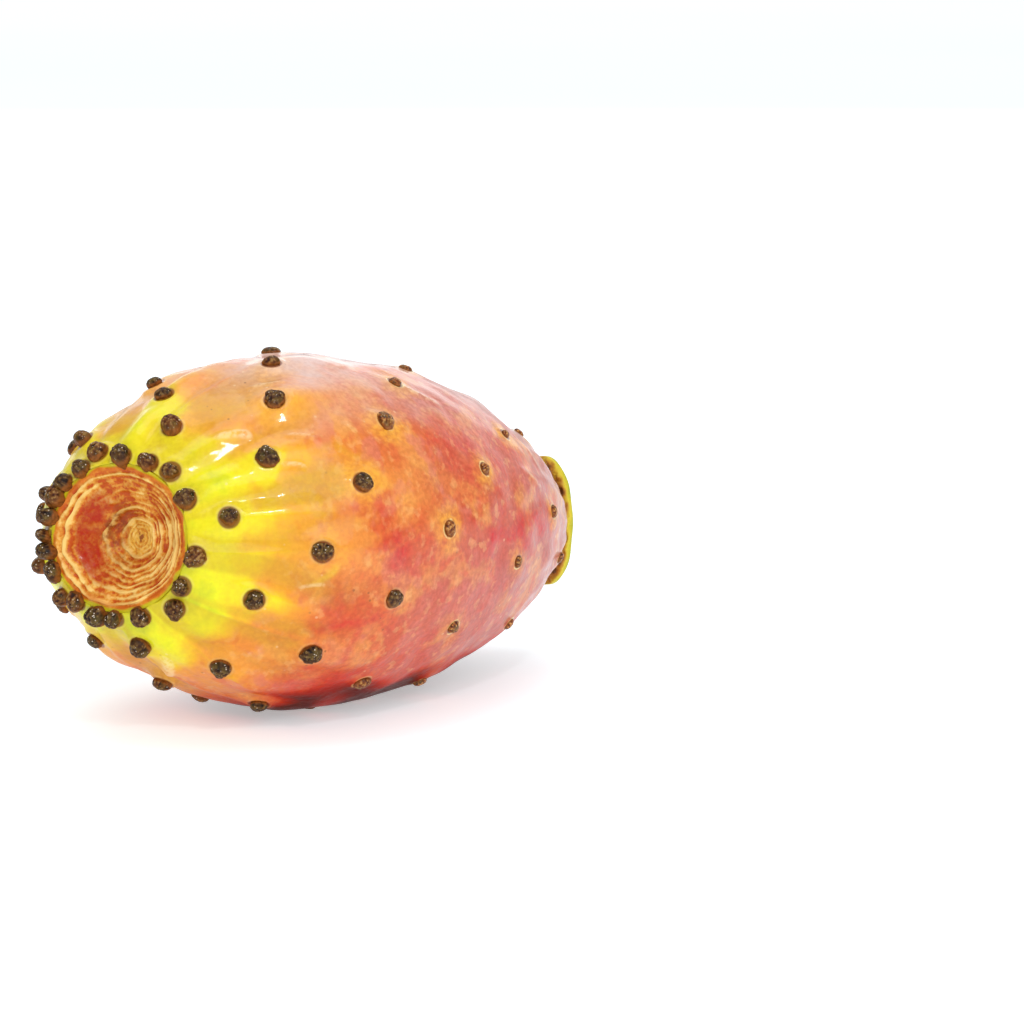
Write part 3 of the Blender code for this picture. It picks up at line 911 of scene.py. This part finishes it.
def ring_height(radius, angle):
    """Sum of narrow bells at the ring radii, where the radius has first been warped by waves of the angle."""
    flat = np.stack([radius * np.cos(angle), radius * np.sin(angle), 0 * radius * angle], -1)
    bend = 0.20 * np.sin(angle + 0.6) + 0.14 * np.sin(2 * angle + 2.0) + 0.09 * np.sin(5 * angle + 0.4)
    bend = bend + 0.04 * np.sin(9 * angle + radius / MM) + 0.09 * waves(flat, 3.4 * MM, 41)
    bend = bend + 0.015 * waves(flat, 1.4 * MM, 42)
    warped = radius / MM + bend * np.clip(radius / SCAR_FLOOR_RADIUS, 0, 1)
    on_far = beside(angle, FAR_WALL, FAR_WALL_HALF)
    on_upper = beside(angle, UPPER_WALL, UPPER_WALL_HALF)
    height = 0.05 * waves(flat, 1.5 * MM, 43) * after(radius, 2.0 * MM, MM)
    for place, half_width, tall, far_share, upper_share in RINGS:
        swell = 1 + 0.40 * np.sin(2 * angle + 5 * place) + 0.25 * np.sin(5 * angle + 9 * place)
        kept = (1 - (1 - far_share) * on_far) * (1 - (1 - upper_share) * on_upper)
        height += tall * kept * swell * np.exp(-(((warped - place) / half_width) ** 2))
    return height * MM


def scar_point(radius, angle, sink=0.0):
    """World points of the dish: a slope from its floor to its edge, the rings on it, and the rim's own shear.

    The disc in the middle stays level, and the shear comes in between its edge and the first great rings.
    """
    slope = np.clip((radius - SCAR_FLOOR_RADIUS) / (SCAR_EDGE_RADIUS - SCAR_FLOOR_RADIUS), 0, 1)
    rings_fade = before(radius, RIM_RADIUS, 0.5 * MM)
    rise = SCAR_DEPTH * slope**SCAR_HOLLOW + ring_height(radius, angle) * rings_fade
    leaning = after(radius, LEAN_FROM, LEAN_REACH)
    along = slanted(np.full(radius.shape, AXIS_LENGTH), radius, angle, leaning) - SCAR_DEPTH + rise - sink
    return placed(along, radius, angle)


def make_skin():
    """The button, the barrel with its fine relief, and the tuck under the scar, as one closed shell."""
    station, angle = skin_grid()
    button, button_station = button_rings(angle[0])
    barrel = skin_point(station, angle, fine_relief(station, angle))
    tuck_radius = np.linspace(RIM_RADIUS, 0, TUCK_ROWS + 2)[1:-1, None] + 0 * angle[0]
    tuck = scar_point(tuck_radius, angle[:TUCK_ROWS], 2 * SCAR_THICKNESS)
    rings = on_the_table(np.concatenate([button, barrel, tuck]))
    all_station = np.concatenate([button_station, station, np.full(tuck_radius.shape, AXIS_LENGTH)])
    all_angle = np.broadcast_to(angle[0], all_station.shape)
    normals = np.zeros(rings.shape)
    normals[BUTTON_ROWS:BUTTON_ROWS + BARREL_ROWS] = skin_normal(station, angle)
    marks = closed_marks(skin_marks(all_station, all_angle, rings, normals))
    make_piece("skin", *closed_rings(rings), skin_finish(), "skin", "fruit", marks)


make_skin()

# %% [markdown]
# ## The scar's finish
# Cork is dull and fibrous. Its ridges have dried to cream and its valleys stay red-orange, so one colour row
# read by the height of the rings does most of the work. Brown strands, which are noise drawn out one way, lie
# over the rings on the far side, and the smooth wall beyond them is washed red.

# %% Scar finish and mesh
CORK_BROWN = screen(138, 56, 10)
FIBRE_BROWN = screen(148, 62, 12)
CORK_RED = screen(202, 84, 16)
CORK_ORANGE = screen(218, 124, 34)
CORK_TAN = screen(232, 162, 62)
CORK_CREAM = screen(252, 212, 124)
FAR_WALL_RED = screen(176, 24, 0)
EDGE_ORANGE = screen(224, 122, 30)
BAND_LIME = screen(206, 190, 20)
DISC_ORANGE = screen(226, 146, 46)
DISC_TAN = screen(240, 180, 66)
SHADE_TAN = screen(228, 212, 196)
RIDGE_TALL = 0.42 * MM
DISC_RADIUS = 2.5 * MM
EDGE_FROM = 9.0 * MM
FIBRES_HALF = math.radians(75)
FIBRE_RING = 4.2 * MM
FIBRE_RING_HALF_WIDTH = 1.3 * MM
FIBRE_DEPTH = 0.10 * MM


def cork_rings(cork, fibre, coarse):
    """Colours read off the height of the rings, roughened by fibre: red valleys, cream ridges, a tan disc."""
    level = cork.sum_up("ADD", cork.mark("ridge"), cork.window(fibre, 0.3, 0.7, -0.16, 0.22))
    level = cork.sum_up("ADD", level, cork.window(coarse, 0.3, 0.7, -0.08, 0.20))
    rings = ((0.00, CORK_RED), (0.16, CORK_ORANGE), (0.40, CORK_TAN), (0.80, CORK_CREAM))
    disc = cork.ramp(level, ((0.0, DISC_ORANGE), (0.08, DISC_TAN), (0.6, CORK_CREAM)))
    colour = cork.wash(cork.mark("disc"), cork.ramp(level, rings), disc)
    navel = cork.sum_up("ADD", cork.mark("reach"), cork.window(fibre, 0.3, 0.7, -0.25, 0.25))
    return cork.wash(cork.window(navel, 0.2, 0.75, 0.8, 0.0), colour, CORK_BROWN)


def scar_finish():
    """Rings from red to cream, then brown strands, the red far wall, and the orange and lime edge."""
    cork = Finish("flower_scar_cork", roughness=0.42, specular=0.14, coat=0.18, coat_roughness=0.12)
    fibre = cork.speckle(0.45 * MM, detail=4)
    coarse = cork.speckle(2.2 * MM, detail=3)
    colour = cork_rings(cork, fibre, coarse)
    strands = cork.window(cork.speckle(0.8 * MM, detail=3, stretch=(1, 0.4, 1)), 0.38, 0.62, 1.0, 0.35)
    fibrous = cork.times(cork.mark("fibrous"), cork.window(coarse, 0.35, 0.62, 0.95, 0.5))
    colour = cork.wash(cork.times(fibrous, strands), colour, FIBRE_BROWN)
    wall = cork.times(cork.mark("wall"), cork.window(coarse, 0.35, 0.65, 0.45, 0.95))
    colour = cork.wash(wall, colour, FAR_WALL_RED)
    ragged = cork.speckle(3.5 * MM, detail=1)
    edge = cork.sum_up("ADD", cork.mark("edge"), cork.window(ragged, 0.3, 0.7, -0.20, 0.20))
    colour = cork.wash(cork.window(edge, 0.1, 0.5, 0.0, 0.7), colour, EDGE_ORANGE)
    colour = cork.wash(cork.window(edge, 0.60, 0.90), colour, BAND_LIME)
    shade = cork.wash(cork.window(coarse, 0.35, 0.65), SHADE_TAN, WHITE)
    colour = cork.wash(0.6, colour, shade, "MULTIPLY")
    return cork.done(colour, cork.bump(fibre, FIBRE_DEPTH), cork.window(fibre, 0.3, 0.7, 0.30, 0.56))


def make_scar():
    """The dish and its underside as one thin closed piece, with ridge, disc, wall and edge marks."""
    turn = np.arange(SCAR_SIDES) * 2 * math.pi / SCAR_SIDES
    out = np.linspace(0, RIM_RADIUS, SCAR_ROWS + 1)[1:]
    back = np.linspace(RIM_RADIUS, 0, TUCK_ROWS + 2)[1:-1]
    radius, angle = np.meshgrid(np.concatenate([out, back]), turn, indexing="ij")
    sink = np.repeat([0.0, SCAR_THICKNESS], [SCAR_ROWS, TUCK_ROWS])[:, None]
    rings = scar_point(radius, angle, sink)
    in_fibre_ring = np.exp(-(((radius - FIBRE_RING) / FIBRE_RING_HALF_WIDTH) ** 4))
    marks = {
        "ridge": ring_height(radius, angle) / RIDGE_TALL,
        "reach": radius / MM,
        "fibrous": beside(angle, FAR_WALL, FIBRES_HALF) * in_fibre_ring,
        "disc": 1 - after(radius, DISC_RADIUS, 0.7 * MM),
        "wall": far_wall(radius, angle),
        "edge": np.clip((radius - EDGE_FROM) / (RIM_RADIUS - EDGE_FROM), 0, 1),
    }
    make_piece("flower_scar", *closed_rings(rings), scar_finish(), "skin", "fruit", closed_marks(marks))


make_scar()

# %% [markdown]
# ## The areoles
# An areole is a cushion of dead brown bristles, packed so tight that it looks like a tiny blackberry. Near the
# rim they are large, dark and warty, and towards the stem they shrink to rust-brown eyes. All are one grid
# shape with different numbers: a foot sunk in the skin, and a dome whose surface is pushed out by small round
# grains set in a spiral.

# %% Shape of the areoles
KNOB_SEED = 7
KNOB_SIDES = 40
KNOB_HEIGHT = 0.28 * MM
KNOB_HEIGHT_GAIN = 0.37 * MM
RIM_KNOB_GAIN = 0.90 * MM
RIM_KNOB_SHARE = 0.94
DOME_GAIN = 0.22 * MM
KNOB_SIZES = (0.78, 1.00)
RIM_KNOB_SIZES = (0.74, 1.06)
KNOB_HEIGHTS = (0.85, 1.05)
KNOB_SQUEEZES = (0.80, 1.12)
KNOB_LEAN = 0.12
GRAINS = 34
GRAIN_SPREAD = 1.02
GRAIN_SCATTER = 0.35
GRAIN_TURN = math.radians(137.5)
GRAIN_SIZES = (0.17, 0.30)
GRAIN_PUSH = 0.12
GRAIN_PUSH_GAIN = 0.06
SKIRT_LEVEL = 0.22
SKIRT_DROOP = 0.26
SKIRT_FADE = 0.30
# From the sunk foot to the top of the dome: spread, level and share of the grains.
KNOB_PROFILE = np.array([
    (0.96, -0.70, 0.0), (1.00, -0.30, 0.1), (1.03, -0.05, 0.4), (1.04, 0.08, 0.7), (1.03, 0.20, 1.0),
    (1.01, 0.31, 1.0), (0.98, 0.42, 1.0), (0.94, 0.52, 1.0), (0.89, 0.62, 1.0), (0.83, 0.71, 1.0),
    (0.75, 0.79, 1.0), (0.66, 0.86, 1.0), (0.56, 0.92, 1.0), (0.45, 0.96, 1.0), (0.33, 0.98, 1.0),
    (0.21, 1.0, 1.0), (0.10, 1.0, 1.0),
])


def grain_bumps(spread, turn, seed):
    """Height from 0 to 1 of the nearest grain: the top half of a ball on each point of a small spiral."""
    draw = np.random.default_rng(seed)
    number = np.arange(GRAINS)
    reach = np.sqrt((number + 0.5) / GRAINS) * GRAIN_SPREAD
    where = number * GRAIN_TURN + draw.uniform(-GRAIN_SCATTER, GRAIN_SCATTER, GRAINS)
    size = draw.uniform(*GRAIN_SIZES, GRAINS)
    x, y = spread * np.cos(turn), spread * np.sin(turn)
    best = np.zeros(x.shape)
    for r, w, wide in zip(reach, where, size):
        away = np.hypot(x - r * math.cos(w), y - r * math.sin(w)) / wide
        best = np.maximum(best, np.sqrt(np.clip(1 - away**2, 0, 1)))
    return best


def areole_frame(out):
    """Two unit vectors across the outward one."""
    side = unit(np.cross(out, [0.3, 0.2, 0.9]))
    return side, np.cross(out, side)


def one_areole(index, draw):
    """Rings of one areole and its marks. The dome is squeezed a little and leans by a few degrees."""
    foot, out = AREOLE_FOOT[index], AREOLE_OUT[index]
    on_rim = AREOLE_STATION[index] > RIM_KNOB_SHARE * AXIS_LENGTH
    nearness = AREOLE_NEARNESS[index]
    radius = AREOLE_RADIUS[index] * draw.uniform(*(RIM_KNOB_SIZES if on_rim else KNOB_SIZES))
    height = KNOB_HEIGHT + KNOB_HEIGHT_GAIN * nearness + RIM_KNOB_GAIN * on_rim
    height = height * draw.uniform(*KNOB_HEIGHTS) + DOME_GAIN * (1 - on_rim)
    squeeze, lean = draw.uniform(*KNOB_SQUEEZES), draw.normal(0, KNOB_LEAN, 2)
    side, up = areole_frame(out)
    turn = np.arange(KNOB_SIDES) * 2 * math.pi / KNOB_SIDES
    spread, level, grainy = (column[:, None] for column in KNOB_PROFILE.T)
    wobble = 1 + 0.08 * np.sin(2 * turn + index) + 0.06 * np.sin(3 * turn + 2 * index)
    wobble = wobble + 0.03 * np.sin(7 * turn)
    grains = grain_bumps(spread, turn[None, :], KNOB_SEED + index)
    push = grainy * grains * (GRAIN_PUSH + GRAIN_PUSH_GAIN * nearness) * radius
    across = spread * wobble * radius + push * (1 - level)
    rise = level * height + push * level + 0 * turn
    x, y = across * np.cos(turn), across * np.sin(turn) * squeeze
    rings = foot + (x + lean[0] * rise)[..., None] * side + (y + lean[1] * rise)[..., None] * up
    rings = rings + rise[..., None] * out
    down = -unit(x[..., None] * side + y[..., None] * up)[..., 2]
    marks = {
        "grain": grains * grainy,
        "skirt": 1 - smooth_step((level - SKIRT_LEVEL - SKIRT_DROOP * down) / SKIRT_FADE),
        "upper": 0.5 - 0.5 * down * np.clip(spread, 0, 1),
        "nearness": nearness + 0 * grains,
        "tone": draw.uniform(0, 1) + 0 * grains,
    }
    return rings, marks


# %% [markdown]
# The cushions are nearly black between their grains near the rim, rust brown further down, and lighter on top
# of the grains. Their lower side and the skirt at the foot are a warmer brown. Pale specks on the upper side
# of those near the rim are partly the tips of bristles and partly painted glints, and so they keep to the
# upper side, where the light falls. The small ones towards the stem are the glossiest.

# %% Areole finish and mesh
DARK_CORK = (
    (0.05, screen(22, 8, 4)),
    (0.45, screen(50, 26, 12)),
    (0.85, screen(84, 56, 26)),
    (1.00, screen(120, 92, 52)),
)
RUST_CORK = (
    (0.05, screen(66, 18, 6)),
    (0.45, screen(124, 54, 16)),
    (0.80, screen(168, 98, 38)),
    (1.00, screen(214, 156, 86)),
)
OLIVE_CLOUD = screen(104, 86, 34)
LOWER_BROWN = screen(108, 60, 24)
SKIRT_BROWN = screen(150, 86, 32)
# Pale specks: partly tips of bristles, partly painted glints.
BRISTLE_TIP_AND_GLINT_PALE = screen(232, 214, 196)
GRIT_DEPTH = 0.06 * MM


def areole_finish():
    """Grain height gives dark to light, nearness turns rust to dark, and the skirt at the foot is brown."""
    cork = Finish("areole_bristle_cork", roughness=0.50, specular=0.12, coat_roughness=0.16)
    grit = cork.speckle(0.5 * MM, detail=3)
    cloud = cork.speckle(1.3 * MM, detail=2)
    nearness, upper = cork.mark("nearness"), cork.mark("upper")
    level = cork.sum_up("ADD", cork.mark("grain"), cork.window(grit, 0.3, 0.7, -0.40, 0.18))
    age = cork.sum_up("SUBTRACT", nearness, cork.times(cork.mark("tone"), 0.5))
    darkened = cork.window(age, 0.05, 0.85, 0.1, 1.0)
    colour = cork.wash(darkened, cork.ramp(level, RUST_CORK), cork.ramp(level, DARK_CORK))
    colour = cork.wash(cork.times(cork.window(cloud, 0.45, 0.70), 0.5), colour, OLIVE_CLOUD)
    colour = cork.wash(cork.window(upper, 0.15, 0.50, 0.35, 0.0), colour, LOWER_BROWN)
    skirt = cork.times(cork.mark("skirt"), cork.window(grit, 0.3, 0.7, 0.4, 0.95))
    colour = cork.wash(skirt, colour, SKIRT_BROWN)
    # Pale specks, partly tips of bristles and partly painted glints, kept to the upper side where the light
    # falls.
    specks = cork.window(cork.cells(0.42 * MM), 0.16, 0.26, 0.95, 0.0)
    tips_and_glints = cork.times(
        specks,
        cork.window(cloud, 0.42, 0.56),
        cork.window(cork.mark("skirt"), 0.0, 0.5, 1.0, 0.0),
        cork.window(nearness, 0.5, 1.0, 0.1, 1.0),
        cork.window(upper, 0.38, 0.66, 0.2, 1.0),
    )
    colour = cork.wash(tips_and_glints, colour, BRISTLE_TIP_AND_GLINT_PALE)
    cork.join(cork.shader.inputs["Coat Weight"], cork.window(nearness, 0.5, 1.0, 0.35, 0.12))
    return cork.done(colour, cork.bump(grit, GRIT_DEPTH), cork.window(grit, 0.3, 0.7, 0.40, 0.65))


def make_areoles():
    """All areoles as one piece: the grids of every areole, one after the other."""
    draw = np.random.default_rng(KNOB_SEED)
    points, quads, fans, marks = [], [], [], {}
    offset = 0
    for index in range(len(AREOLE_STATION)):
        rings, given = one_areole(index, draw)
        rings = on_the_table(rings)
        more, sides, ends = closed_rings(rings)
        points.append(more)
        quads.append(sides + offset)
        fans.append(ends + offset)
        for name, values in closed_marks(given).items():
            marks.setdefault(name, []).append(values)
        offset += len(more)
    marks = {name: np.concatenate(parts) for name, parts in marks.items()}
    whole = (np.concatenate(points), np.concatenate(quads), np.concatenate(fans))
    make_piece("areoles", *whole, areole_finish(), "skin", "fruit", marks)


make_areoles()

# %% [markdown]
# ## The slice of pad
# The knife took a thin oval of the cactus pad with the fruit. Its outer face is green-yellow rind, its cut
# edge is thick and yellow, and the side towards the fruit has dried to brown cork, with a neck that meets the
# fruit. It is a grid as well: a blunted oval carried over a profile of levels, bent a little round the stem.

# %% Slice of pad: shape
HEEL_HALF_LENGTH = 10.0 * MM
HEEL_HALF_WIDTH = 4.8 * MM
HEEL_THICKNESS = 2.3 * MM
HEEL_OUTER_STATION = 0.9 * MM
HEEL_BEND = 0.9 * MM
HEEL_SQUARENESS = 2.6
HEEL_EDGE_CURVE = 0.55
HEEL_SIDES = 160
HEEL_ROWS = 60
NECK_RADIUS = 3.9 * MM
NECK_MEETS = 0.95
NECK_STARTS = 0.97
NECK_TAPER = 0.15
NECK_GAP = 0.3 * MM
NECK_ROWS = 12
NECK_MARK = 1.2


def blunt(wave):
    """Turns a circle's sine or cosine into that of a blunt-ended oval."""
    return np.sign(wave) * np.abs(wave) ** (2 / HEEL_SQUARENESS)


def heel_profile():
    """Spread and depth over the slice: out along the outer face, round the edge, and in along the cut side."""
    turn = np.linspace(0, math.pi, HEEL_ROWS)
    inward = np.sign(np.cos(turn)) * np.abs(np.cos(turn)) ** HEEL_EDGE_CURVE
    return np.abs(np.sin(turn)) ** HEEL_EDGE_CURVE, 0.5 - 0.5 * inward


def heel_rings():
    """Rings of the slice and of its neck, and their depth from 0 at the outer face for the mark."""
    turn = np.arange(HEEL_SIDES) * 2 * math.pi / HEEL_SIDES
    spread, depth = (column[1:-1, None] for column in heel_profile())
    keep = (depth < 0.5) | (spread * HEEL_HALF_WIDTH > NECK_MEETS * NECK_RADIUS)
    spread, depth = spread[keep[:, 0]], depth[keep[:, 0]]
    tall = spread * HEEL_HALF_LENGTH * blunt(np.cos(turn))
    wide = spread * HEEL_HALF_WIDTH * blunt(np.sin(turn))
    station = HEEL_OUTER_STATION + HEEL_THICKNESS * depth + HEEL_BEND * (tall / HEEL_HALF_LENGTH) ** 2
    slice_rings = placed(station, np.hypot(tall, wide), np.arctan2(wide, tall))
    climb = np.linspace(0, 1, NECK_ROWS)[:, None]
    neck_top = STEM_END_STATION - NECK_GAP
    neck_foot = HEEL_OUTER_STATION + HEEL_THICKNESS * NECK_STARTS
    neck_station = neck_foot + climb * (neck_top - neck_foot)
    flutes = 1 + 0.02 * np.sin(9 * turn) + 0.015 * np.sin(14 * turn + 1)
    waist = NECK_RADIUS * (1 - NECK_TAPER * climb) * flutes
    neck_rings = placed(neck_station + 0 * turn, waist, turn + 0 * climb)
    rings = np.concatenate([slice_rings, neck_rings])
    return rings, np.concatenate([depth + 0 * turn, NECK_MARK + 0 * waist])


# %% Slice of pad: finish and mesh
PAD_TINTS = (  # size of the clouds in mm, noise where they begin, strongest share, colour
    (4.5, 0.46, 0.7, screen(112, 130, 44)),
    (2.4, 0.52, 0.6, screen(208, 196, 92)),
    (1.3, 0.58, 0.8, screen(140, 92, 40)),
)
PAD_ROW = (  # from the outer face over the cut edge to the side towards the fruit
    (0.05, screen(148, 152, 40)),
    (0.35, screen(192, 184, 38)),
    (0.62, screen(222, 200, 54)),
    (0.84, screen(190, 128, 42)),
    (0.97, screen(92, 52, 22)),
)
DRIED_BROWN = screen(158, 96, 44)
BLOTCH_DEPTH = 0.5 * MM
PAD_FIBRE_DEPTH = 0.25 * MM


def heel_finish():
    """Green-yellow rind outside, a yellow edge, and brown cork on the side that was cut and on the neck."""
    rind = Finish("pad_rind", roughness=0.55, specular=0.25, coat=0.08, coat_roughness=0.3)
    fibre = rind.speckle(0.7 * MM, detail=4)
    blotch = rind.speckle(2.6 * MM, detail=3)
    depth = rind.sum_up("ADD", rind.mark("depth"), rind.window(blotch, 0.3, 0.7, -0.16, 0.16))
    colour = rind.ramp(depth, PAD_ROW)
    face = rind.window(rind.mark("depth"), 0.05, 0.35, 1.0, 0.0)
    for size, low, share, tint in PAD_TINTS:
        cloud = rind.window(rind.speckle(size * MM, detail=3), low, low + CLOUD_EDGE, 0.0, share)
        colour = rind.wash(rind.times(cloud, face), colour, tint)
    dried = rind.times(rind.window(fibre, 0.42, 0.72, 0.0, 0.6), rind.window(depth, 0.75, 1.0))
    colour = rind.wash(dried, colour, DRIED_BROWN)
    relief = rind.bump(blotch, BLOTCH_DEPTH, rind.bump(fibre, PAD_FIBRE_DEPTH))
    return rind.done(colour, relief, rind.window(fibre, 0.3, 0.7, 0.46, 0.72))


def make_heel():
    """The slice with its neck as one closed piece, its cut side made rough by noise along the axis."""
    rings, depths = heel_rings()
    rough = after(depths, 0.6, 0.3)
    lump = 0.10 * MM * waves(rings, 1.7 * MM, 31) + 0.06 * MM * waves(rings, 0.8 * MM, 32)
    soft = 0.10 * MM * waves(rings, 6 * MM, 33)
    last = np.arange(len(rings))[:, None] >= len(rings) - 2
    rings = rings + ((lump * rough + soft * (depths < 1.1)) * ~last)[..., None] * AXIS
    marks = closed_marks({"depth": depths})
    make_piece("pad_slice", *closed_rings(rings), heel_finish(), "pad_heel", "pad_heel", marks)


make_heel()

# %% [markdown]
# ## Table, light and camera
# The fruit lies on a plain pale table that glows a little. A soft box overhead and a wide one in front give
# the soft light, a small one at the front left gives the sharp glints on the ribs, and low ones behind and at
# the right edge the fruit with light. The largest lights the ground further back, and a dim white sky fills
# the rest. The camera stands 56 cm away and 10 degrees up, with a long lens.

# %% Table
TABLE_HALF = 6.0
TABLE_DROP = 0.05 * MM
TABLE_GLOW = 0.4
TABLE_TINTS = ((0.3, (0.77, 0.88, 0.93)), (0.7, (0.79, 0.90, 0.95)))


def make_table():
    """A wide level square just under the fruit, in matt acrylic that is lit a little from below.

    Its faint blue-green tint takes out the pink that the fruit casts on it.
    """
    mesh = bpy.data.meshes.new("table")
    corners = [(x * TABLE_HALF, y * TABLE_HALF, -TABLE_DROP) for x, y in ((-1, -1), (1, -1), (1, 1), (-1, 1))]
    mesh.from_pydata(corners, [], [(0, 1, 2, 3)])
    white = Finish("table_white", roughness=0.9, specular=0.1)
    white.shader.inputs["Emission Color"].default_value = (1, 1, 1, 1)
    white.shader.inputs["Emission Strength"].default_value = TABLE_GLOW
    mesh.materials.append(white.done(white.ramp(white.speckle(0.4, detail=1), TABLE_TINTS)))
    table = bpy.data.objects.new("table", mesh)
    bpy.context.scene.collection.objects.link(table)


make_table()

# %% Lights
SOFT_BOXES = (  # name, place, width and depth in m, power in watts
    ("overhead_box", (0.05, 0.12, 0.90), (0.7, 0.5), 2.3),
    ("front_box", (-0.50, -1.30, 0.90), (1.6, 1.0), 10.0),
    ("glint_box", (-0.30, -0.48, 0.62), (0.05, 0.035), 0.6),
    ("back_box", (0.86, 0.83, 0.28), (1.5, 0.30), 1.3),
    ("right_box", (1.05, 0.10, 0.30), (0.6, 0.5), 0.5),
    ("backdrop_box", (1.9, 2.0, 1.9), (3.0, 3.0), 18.0),
)
SKY_STRENGTH = 0.5


def make_light(name, place, size, power):
    """A rectangular soft box that faces the middle of the fruit."""
    lamp = bpy.data.lights.new(name, "AREA")
    lamp.shape = "RECTANGLE"
    lamp.size, lamp.size_y = size
    lamp.energy = power
    light = bpy.data.objects.new(name, lamp)
    light.location = place
    light.rotation_mode = "QUATERNION"
    towards = Vector(MIDDLE) - Vector(place)
    light.rotation_quaternion = towards.to_track_quat("-Z", "Y")
    bpy.context.scene.collection.objects.link(light)


def make_sky():
    """A plain white sky at half strength, which fills the shadows."""
    world = bpy.data.worlds.new("white_sky")
    world.use_nodes = True
    background = world.node_tree.nodes["Background"]
    background.inputs["Color"].default_value = (1, 1, 1, 1)
    background.inputs["Strength"].default_value = SKY_STRENGTH
    bpy.context.scene.world = world


for box in SOFT_BOXES:
    make_light(*box)
make_sky()
print("lights:", [box[0] for box in SOFT_BOXES])

# %% Camera
CAMERA_PLACE = (-382.41 * MM, -394.64 * MM, 123.97 * MM)
CAMERA_HEADING = math.radians(46.768)
CAMERA_DIP = math.radians(10)
LENS = 133.89
SENSOR = 36

camera_data = bpy.data.cameras.new("camera")
camera_data.lens = LENS
camera_data.sensor_width = SENSOR
camera = bpy.data.objects.new("camera", camera_data)
camera.location = CAMERA_PLACE
camera.rotation_euler = (math.pi / 2 - CAMERA_DIP, 0, -CAMERA_HEADING)
bpy.context.scene.collection.objects.link(camera)
bpy.context.scene.camera = camera
bpy.context.scene.view_settings.view_transform = "Standard"
print("camera", LENS, "mm lens, heading", round(math.degrees(CAMERA_HEADING), 2), "degrees")
